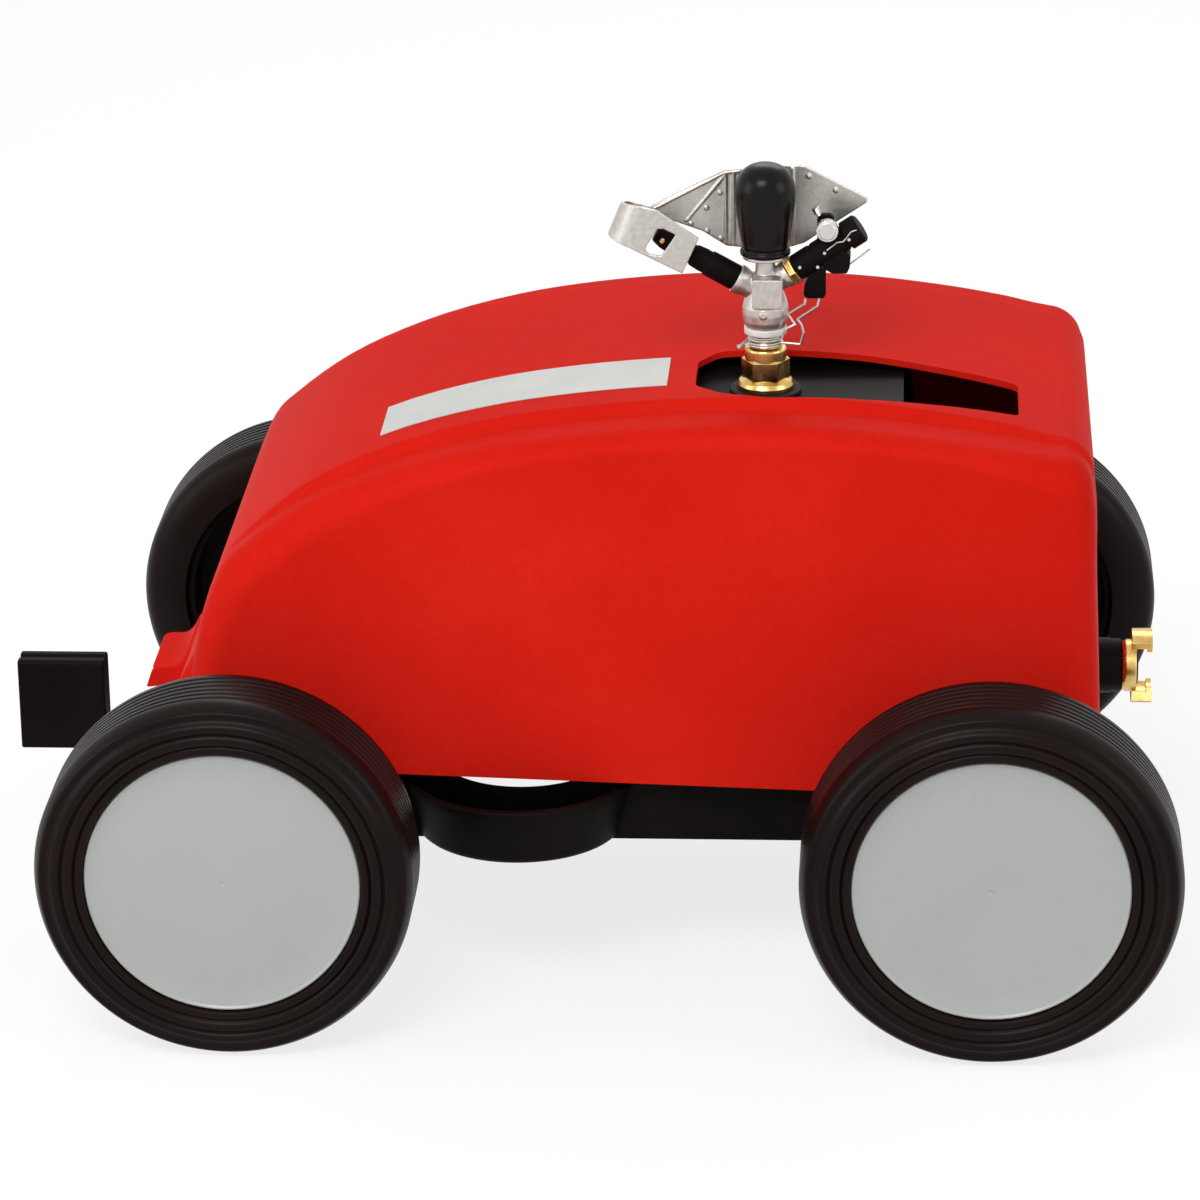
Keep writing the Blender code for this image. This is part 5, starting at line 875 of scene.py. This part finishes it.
# Sprinkler head: a small aluminium casting with two slanted sockets and a bare square pad on its front. The
# cast skin is matt and grainy, and the sockets flow into the barrel with soft fillets.
cast_aluminium, shader, place = new_finish("cast_aluminium", (0.46, 0.44, 0.405), 0.45, 1.0)
cloud = speckle(place, 260, 4, 0.6)
grain = speckle(place, 1400, 3)
mixed = cloud * 0.6 + grain * 0.4
feed(shader, "Base Color", tinted(
    mixed, (0.30, (0.440, 0.422, 0.385)), (0.52, (0.550, 0.530, 0.490)), (0.78, (0.690, 0.670, 0.630)),
))
feed(shader, "Roughness", cloud * 0.24 + 0.30)
feed(shader, "Normal", relief(grain * 0.6 + cloud * 0.4, 0.30, 0.0005))

nozzle_tilt, spreader_tilt = math.radians(29.3), math.radians(33.7)
nozzle_way = Vector((-math.cos(nozzle_tilt), 0, math.sin(nozzle_tilt)))
spreader_way = Vector((math.cos(spreader_tilt), 0, math.sin(spreader_tilt)))
nozzle_root = (sprinkler[0], sprinkler[1], 0.5172)
spreader_root = (sprinkler[0], sprinkler[1], 0.5219)


def cast(made, voxel, passes):
    """Skin of a casting: every edge and joint gets a small even round."""
    skin = made.modifiers.new("skin", "REMESH")
    skin.mode = "VOXEL"
    skin.voxel_size = voxel
    even = made.modifiers.new("even", "SMOOTH")
    even.factor = 0.5
    even.iterations = passes
    settle(made, 60)
    return made


head_profile = [
    (0, 0.5165), (0.0075, 0.5165), (0.0075, 0.4930), (0.0146, 0.4930), (0.0155, 0.4940), (0.0166, 0.4975),
    (0.0172, 0.5030), (0.0170, 0.5080), (0.0160, 0.5125), (0.0142, 0.5175), (0.0118, 0.5235),
    (0.0090, 0.5285), (0.0075, 0.5330), (0.0073, 0.5448), (0, 0.5448),
]
head_shape = turned(head_profile, "Z", sprinkler, 64)
head = piece("head_casting", head_shape, cast_aluminium, "sprinkler_head", "sprinkler_body")
left_socket = [(0, 0.004), (0.0085, 0.004), (0.0098, 0.016), (0.0112, 0.0215), (0.0112, 0.0247), (0, 0.0247)]
right_socket = [(0, 0.004), (0.0080, 0.004), (0.0090, 0.015), (0.0102, 0.0175), (0.0102, 0.0212), (0, 0.0212)]
shaped(head, "UNION", turned(left_socket, centre=nozzle_root, along=nozzle_way, steps=48))
shaped(head, "UNION", turned(right_socket, centre=spreader_root, along=spreader_way, steps=48))
pad = softened([(0.1384, 0.5104), (0.1602, 0.5104), (0.1608, 0.5330), (0.1378, 0.5330)], 0.0016)
shaped(head, "UNION", extruded(pad, "Y", -0.1066, -0.092))
shaped(head, "UNION", rod(0.0027, "Y", (0.1463, 0, 0.5052), -0.1060, -0.1000))
cast(head, 0.00045, 3)

# Nozzle: a black plastic tube screwed into the casting, with a black tip pressed into its end. A small brass
# bead in the tip's mouth shows through the arm's window.
tube = softened([
    (0, 0.025), (0.0094, 0.025), (0.0098, 0.0256), (0.0098, 0.0480), (0.0088, 0.0492), (0.0088, 0.0520),
    (0.0090, 0.0526), (0.0084, 0.0600), (0.0078, 0.0618), (0, 0.0620),
], 0.0004, closed=False)
barrel = turned(tube, centre=nozzle_root, along=nozzle_way, steps=56)
piece("nozzle_barrel", barrel, black_plastic, "sprinkler_head", "nozzle_tube")
tip = [
    (0, 0.0623), (0.0075, 0.0623), (0.0078, 0.0800), (0.0073, 0.0862), (0.0054, 0.0926), (0.0046, 0.0936),
    (0, 0.0936),
]
insert = turned(tip, centre=nozzle_root, along=nozzle_way, steps=48)
piece("nozzle_insert", insert, black_plastic, "sprinkler_head", "nozzle_tip")
bead = [
    (0, -0.0976), (0.0012, -0.0974), (0.0020, -0.0966), (0.0023, -0.0952), (0.0023, -0.0925),
    (0, -0.0925),
]
piece("nozzle_bead", turned(bead, "Y", (0.0717, 0, 0.5597), 24), turned_brass, "sprinkler_head")

# Spreader: a brass hexagon nut, then a black plastic tube with two narrow necks and a thicker end. A knurled
# steel screw and a wire clip sit on its front, and the black trip block hangs below on a joint of its own.
nut_profile = [
    (0, 0.0215), (0.0104, 0.0215), (0.0115, 0.0224), (0.0115, 0.0266), (0.0104, 0.0275), (0, 0.0275),
]
nut_shape = turned(nut_profile, centre=spreader_root, along=spreader_way, steps=6)
nut = piece("hex_nut", nut_shape, turned_brass, "sprinkler_head", "spreader_nut", sharp=20)
eased(nut, 0.0004, 2, 15)
sleeve = softened([
    (0, 0.0278), (0.0096, 0.0278), (0.0100, 0.0284), (0.0100, 0.0430), (0.0092, 0.0434), (0.0092, 0.0452),
    (0.0100, 0.0456), (0.0100, 0.0700), (0.0090, 0.0704), (0.0090, 0.0718), (0.0112, 0.0724),
    (0.0112, 0.0832), (0.0098, 0.0848), (0, 0.0848),
], 0.0005, closed=False)
sleeve_shape = turned(sleeve, centre=spreader_root, along=spreader_way, steps=56)
spreader = piece("spreader_sleeve", sleeve_shape, black_plastic, "sprinkler_head", "spreader_tube")
ear = softened([
    (0.1860, 0.5500), (0.1985, 0.5540), (0.1985, 0.5765), (0.1960, 0.5795), (0.1885, 0.5795),
    (0.1860, 0.5765),
], 0.002)
shaped(spreader, "UNION", extruded(ear, "Y", -0.0925, -0.0865))
eased(spreader, 0.0003, 2, 50)
knob_x, knob_z, knob_steps = 0.1937, 0.5705, 96
knob_outline = []
for k in range(knob_steps):
    radius = 0.0083 - 0.0005 * (0.5 - 0.5 * math.cos(2 * math.pi * k / 4))
    angle = 2 * math.pi * k / knob_steps
    knob_outline.append((knob_x + radius * math.cos(angle), knob_z + radius * math.sin(angle)))
knob_shape = extruded(knob_outline, "Y", -0.1056, -0.0978)
knob = piece("knurled_screw", knob_shape, plated_steel, "knob", "spreader_knob", sharp=25)
screw = softened([
    (0, -0.1062), (0.0062, -0.1062), (0.0062, -0.1040), (0.0045, -0.1000), (0.0045, -0.0928), (0, -0.0928),
], 0.0006, closed=False)
shaped(knob, "UNION", turned(screw, "Y", (knob_x, 0, knob_z), 40), sharp=25)
eased(knob, 0.0004, 2, 40)
clip = [
    (0.1934, -0.0985, 0.5540), (0.2008, -0.0986, 0.5602), (0.2056, -0.0986, 0.5609),
    (0.2112, -0.0984, 0.5684), (0.2152, -0.0983, 0.5698),
]
spring_clip = piece("spreader_clip", swept(clip, 0.0007), plated_steel, "sprinkler_head")
clip_studs = []
for x, y, z in (
    (0.1733, -0.0980, 0.5408), (0.1865, -0.0962, 0.5406), (0.1916, -0.0982, 0.5520), (0.2096, -0.0982, 0.5625),
):
    clip_studs.append(rod(0.0012, "Y", (x, 0, z), y - 0.0010, y + 0.0030, 16))
shaped(spring_clip, "UNION", *clip_studs)
stud = softened([
    (0, 0), (0.0029, 0), (0.0034, 0.0006), (0.0034, 0.0046), (0.0023, 0.0052), (0.0023, 0.0170),
    (0, 0.0170),
], 0.0003, closed=False)
stud_shape = turned(stud, centre=(0.1842, -0.0850, 0.5830), along=(0.0085, -0.0090, -0.0125), steps=32)
piece("jet_screw_stud", stud_shape, plated_steel, "sprinkler_head")
block_outline = softened([
    (0.1925, 0.5395), (0.1788, 0.5304), (0.1768, 0.5262), (0.1758, 0.5185), (0.1780, 0.5155),
    (0.1905, 0.5155), (0.1925, 0.5180),
], 0.0014)
block_shape = extruded(block_outline, "Y", -0.0945, -0.0815)
trip_block = piece("trip_block_moulding", block_shape, black_plastic, "trip_block", "trip_block")
catch = softened([
    (0.1900, 0.5392), (0.1975, 0.5350), (0.2080, 0.5352), (0.2102, 0.5400), (0.2108, 0.5485),
    (0.2060, 0.5530), (0.1900, 0.5440),
], 0.001)
shaped(trip_block, "UNION", extruded(catch, "Y", -0.0955, -0.0805))
lever_wire = [(0.2060, -0.0920, 0.5390), (0.2095, -0.0920, 0.5410), (0.2250, -0.0920, 0.5533)]
piece("trip_lever_wire", swept(lever_wire, 0.0006), plated_steel, "trip_block")
eased(trip_block, 0.0006, 2, 40)

# Drive arm: one thin aluminium casting, with a window plate in front of the nozzle, a spoon round its end and
# two ribbed wings behind the cap. It swings out against its spring and strikes back. Its stations give X, then
# Y from the head's middle, the lower edge, the upper edge, and how far the upper edge leans.
arm_half_wall, arm_span_steps = 0.0013, 5
arm_stations = [
    (0.0868, -0.0220, 0.5395, 0.5665, 0.0125), (0.0600, -0.0222, 0.5530, 0.5880, 0.0085),
    (0.0490, -0.0215, 0.5585, 0.5905, 0.0088), (0.0392, -0.0170, 0.5620, 0.5905, 0.0095),
    (0.0335, -0.0095, 0.5640, 0.5895, 0.0100), (0.0322, -0.0010, 0.5640, 0.5880, 0.0100),
    (0.0360, 0.0075, 0.5630, 0.5865, 0.0085), (0.0445, 0.0130, 0.5640, 0.5835, 0.0050),
    (0.0600, 0.0150, 0.5685, 0.5800, 0.0015), (0.0800, 0.0185, 0.5672, 0.5885, 0.0),
    (0.1000, 0.0225, 0.5588, 0.5975, 0.0), (0.1175, 0.0262, 0.5464, 0.6050, 0.0),
    (0.1290, 0.0268, 0.5450, 0.6058, 0.0), (0.1640, 0.0268, 0.5450, 0.6088, 0.0),
    (0.1760, 0.0255, 0.5490, 0.6088, 0.0), (0.1960, 0.0215, 0.5640, 0.5995, 0.0),
    (0.2180, 0.0170, 0.5800, 0.5895, 0.0), (0.2225, 0.0160, 0.5835, 0.5875, 0.0),
]
spoon = through([(x, y) for x, y, *_ in arm_stations], arm_span_steps)
heights = [(low, high, lean) for _, _, low, high, lean in arm_stations]
arm_rings = []
for k, point in enumerate(spoon):
    way = spoon[min(k + 1, len(spoon) - 1)] - spoon[max(k - 1, 0)]
    side = Vector((-way.y, way.x, 0)).normalized() * arm_half_wall
    span, share = divmod(k, arm_span_steps)
    first, second = heights[span], heights[min(span + 1, len(heights) - 1)]
    low, high, lean = [a + (b - a) * share / arm_span_steps for a, b in zip(first, second)]
    foot = Vector((point.x, point.y + sprinkler[1], low))
    top = Vector((point.x + lean, point.y + sprinkler[1], high))
    arm_rings.append([foot - side, foot + side, top + side, top - side])
arm = piece("arm_casting", lofted(arm_rings), cast_aluminium, "drive_arm", "drive_arm")
shaped(arm, "UNION", rod(0.0170, "Z", sprinkler, 0.5453, 0.5478, 64))
shaped(arm, "UNION", block((0.1385, 0.1565), (-0.078, -0.0612), (0.5453, 0.5478)))
window = softened([
    (0.0594, 0.5586), (0.0619, 0.5545), (0.0711, 0.5530), (0.0753, 0.5587), (0.0822, 0.5692),
    (0.0699, 0.5755),
], 0.001)
shaped(arm, "DIFFERENCE", extruded(window, "Y", -0.118, -0.102), rod(0.0053, "Z", sprinkler, 0.53, 0.56))


def on_wing(x, z, proud=0.0):
    """Point on the front of the wings, which stand behind the cap."""
    wing = [(sx, sy) for sx, sy, *_ in arm_stations[7:]]
    (x0, y0), (x1, y1) = next(pair for pair in zip(wing, wing[1:]) if pair[0][0] <= x <= pair[1][0])
    depth = y0 + (y1 - y0) * (x - x0) / (x1 - x0)
    return (x, sprinkler[1] + depth - arm_half_wall - proud, z)


ribs = (
    ((0.1172, 0.6020), (0.1030, 0.5852), (0.0880, 0.5674)),
    ((0.0640, 0.5780), (0.0900, 0.5906), (0.1165, 0.6032), (0.1285, 0.6042)),
    ((0.1172, 0.6034), (0.1172, 0.5484)),
    ((0.1232, 0.6036), (0.1232, 0.5470)),
    ((0.1672, 0.6070), (0.1672, 0.5476)),
)
for rib in ribs:
    shaped(arm, "UNION", swept([on_wing(x, z) for x, z in rib], 0.0011, 8))
pin_places = (
    (0.1133, 0.5878), (0.1032, 0.5767), (0.0917, 0.5650), (0.1038, 0.5588), (0.1138, 0.5524), (0.1795, 0.6010),
    (0.1991, 0.5915),
)
pins = []
for x, z in pin_places:
    face, root = on_wing(x, z, 0.0012)[1], on_wing(x, z)[1] + 0.0012
    pins.append(rod(0.0015, "Y", (x, 0, z), face, root, 16))
shaped(arm, "UNION", *pins)
cast(arm, 0.00055, 2)

# Pivot of the arm: a steel pin with its coiled spring, under a glossy black cap with a rolled rim.
pin = [
    (0, 0.5453), (0.005, 0.5453), (0.005, 0.590), (0.0085, 0.590), (0.009, 0.5905), (0.009, 0.5955),
    (0.0085, 0.596), (0, 0.596),
]
piece("arm_pivot", turned(pin, "Z", sprinkler, 40), plated_steel, "sprinkler_head", "arm_pin")
gloss_black, shader, place = new_finish("gloss_black", (0.006, 0.0040, 0.0036), 0.24, Specular_IOR_Level=0.14)
cloud = speckle(place, 30, 3)
feed(shader, "Roughness", cloud * 0.10 + 0.20)
dome_foot = [
    (0.0176, 0.5481), (0.0186, 0.5487), (0.0189, 0.5502), (0.0184, 0.5516), (0.0173, 0.5524), (0.0169, 0.5533),
    (0.0171, 0.5543), (0.0178, 0.5549), (0.0180, 0.5557), (0.0177, 0.5566), (0.0178, 0.5577),
]
dome_crown = through([
    (0.0182, 0.5600), (0.0200, 0.5700), (0.0218, 0.5830), (0.0227, 0.5920), (0.0221, 0.6010), (0.0190, 0.6090),
    (0.0135, 0.6145), (0.0070, 0.6172), (0, 0.6180),
], 5)
dome_outer = [*dome_foot, *[tuple(p) for p in dome_crown[:-1]], (0, 0.6180)]
dome_inner = [
    (0, 0.6150), (0.0110, 0.6118), (0.0183, 0.6018), (0.0197, 0.5915), (0.0183, 0.5790), (0.0160, 0.5640),
    (0.0150, 0.5481),
]
dome = turned(dome_outer + dome_inner, "Z", sprinkler, 96)
piece("dome_moulding", dome, gloss_black, "drive_arm", "dome_cap", sharp=50)

# Trip wires: two bent spring wires, each wound 1.4 times round the neck of the head, with a prong that reaches
# up beside the trip block to set where the head turns back, and a tail to push it by. Points are from the
# head's axis.
trip_wires = (
    ("trip_wire_upper", "upper_trip_wire", 0.4856, -35, (
        (0.0302, -0.0138, 0.5190), (0.0295, -0.0134, 0.5133), (0.0169, -0.0105, 0.5043),
        (0.0205, -0.0105, 0.4990), (0.0223, -0.0105, 0.4965), (0.0166, -0.0100, 0.4935),
    ), (-0.0205, -0.0100, 0.4770)),
    ("trip_wire_lower", "lower_trip_wire", 0.4809, -30, (
        (0.0407, -0.0138, 0.5190), (0.0390, -0.0134, 0.5117), (0.0241, -0.0105, 0.5005),
        (0.0270, -0.0105, 0.4960), (0.0285, -0.0105, 0.4900), (0.0262, -0.0100, 0.4810),
    ), (-0.0215, -0.0020, 0.4765)),
)
neck_radius, neck_turns, neck_pitch, neck_steps = 0.0124, 1.4, 0.0019, 50
for name, body, coil_top, start, prong, tail in trip_wires:
    coil = []
    for k in range(neck_steps + 1):
        angle = math.radians(start) - 2 * math.pi * neck_turns * k / neck_steps
        height = coil_top - neck_pitch * neck_turns * k / neck_steps
        coil.append(Vector((neck_radius * math.cos(angle), neck_radius * math.sin(angle), height)))
    bends = []
    for a, b in zip(prong, prong[1:]):
        bends += [Vector(a), Vector(a).lerp(Vector(b), 0.12), Vector(a).lerp(Vector(b), 0.88)]
    path = [*bends[1:], Vector(prong[-1]), *coil, coil[-1].lerp(Vector(tail), 0.5), Vector(tail)]
    path = [p + Vector(sprinkler) for p in path]
    piece(name + "_bent", swept(path, 0.00098), plated_steel, body, name)

low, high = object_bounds()
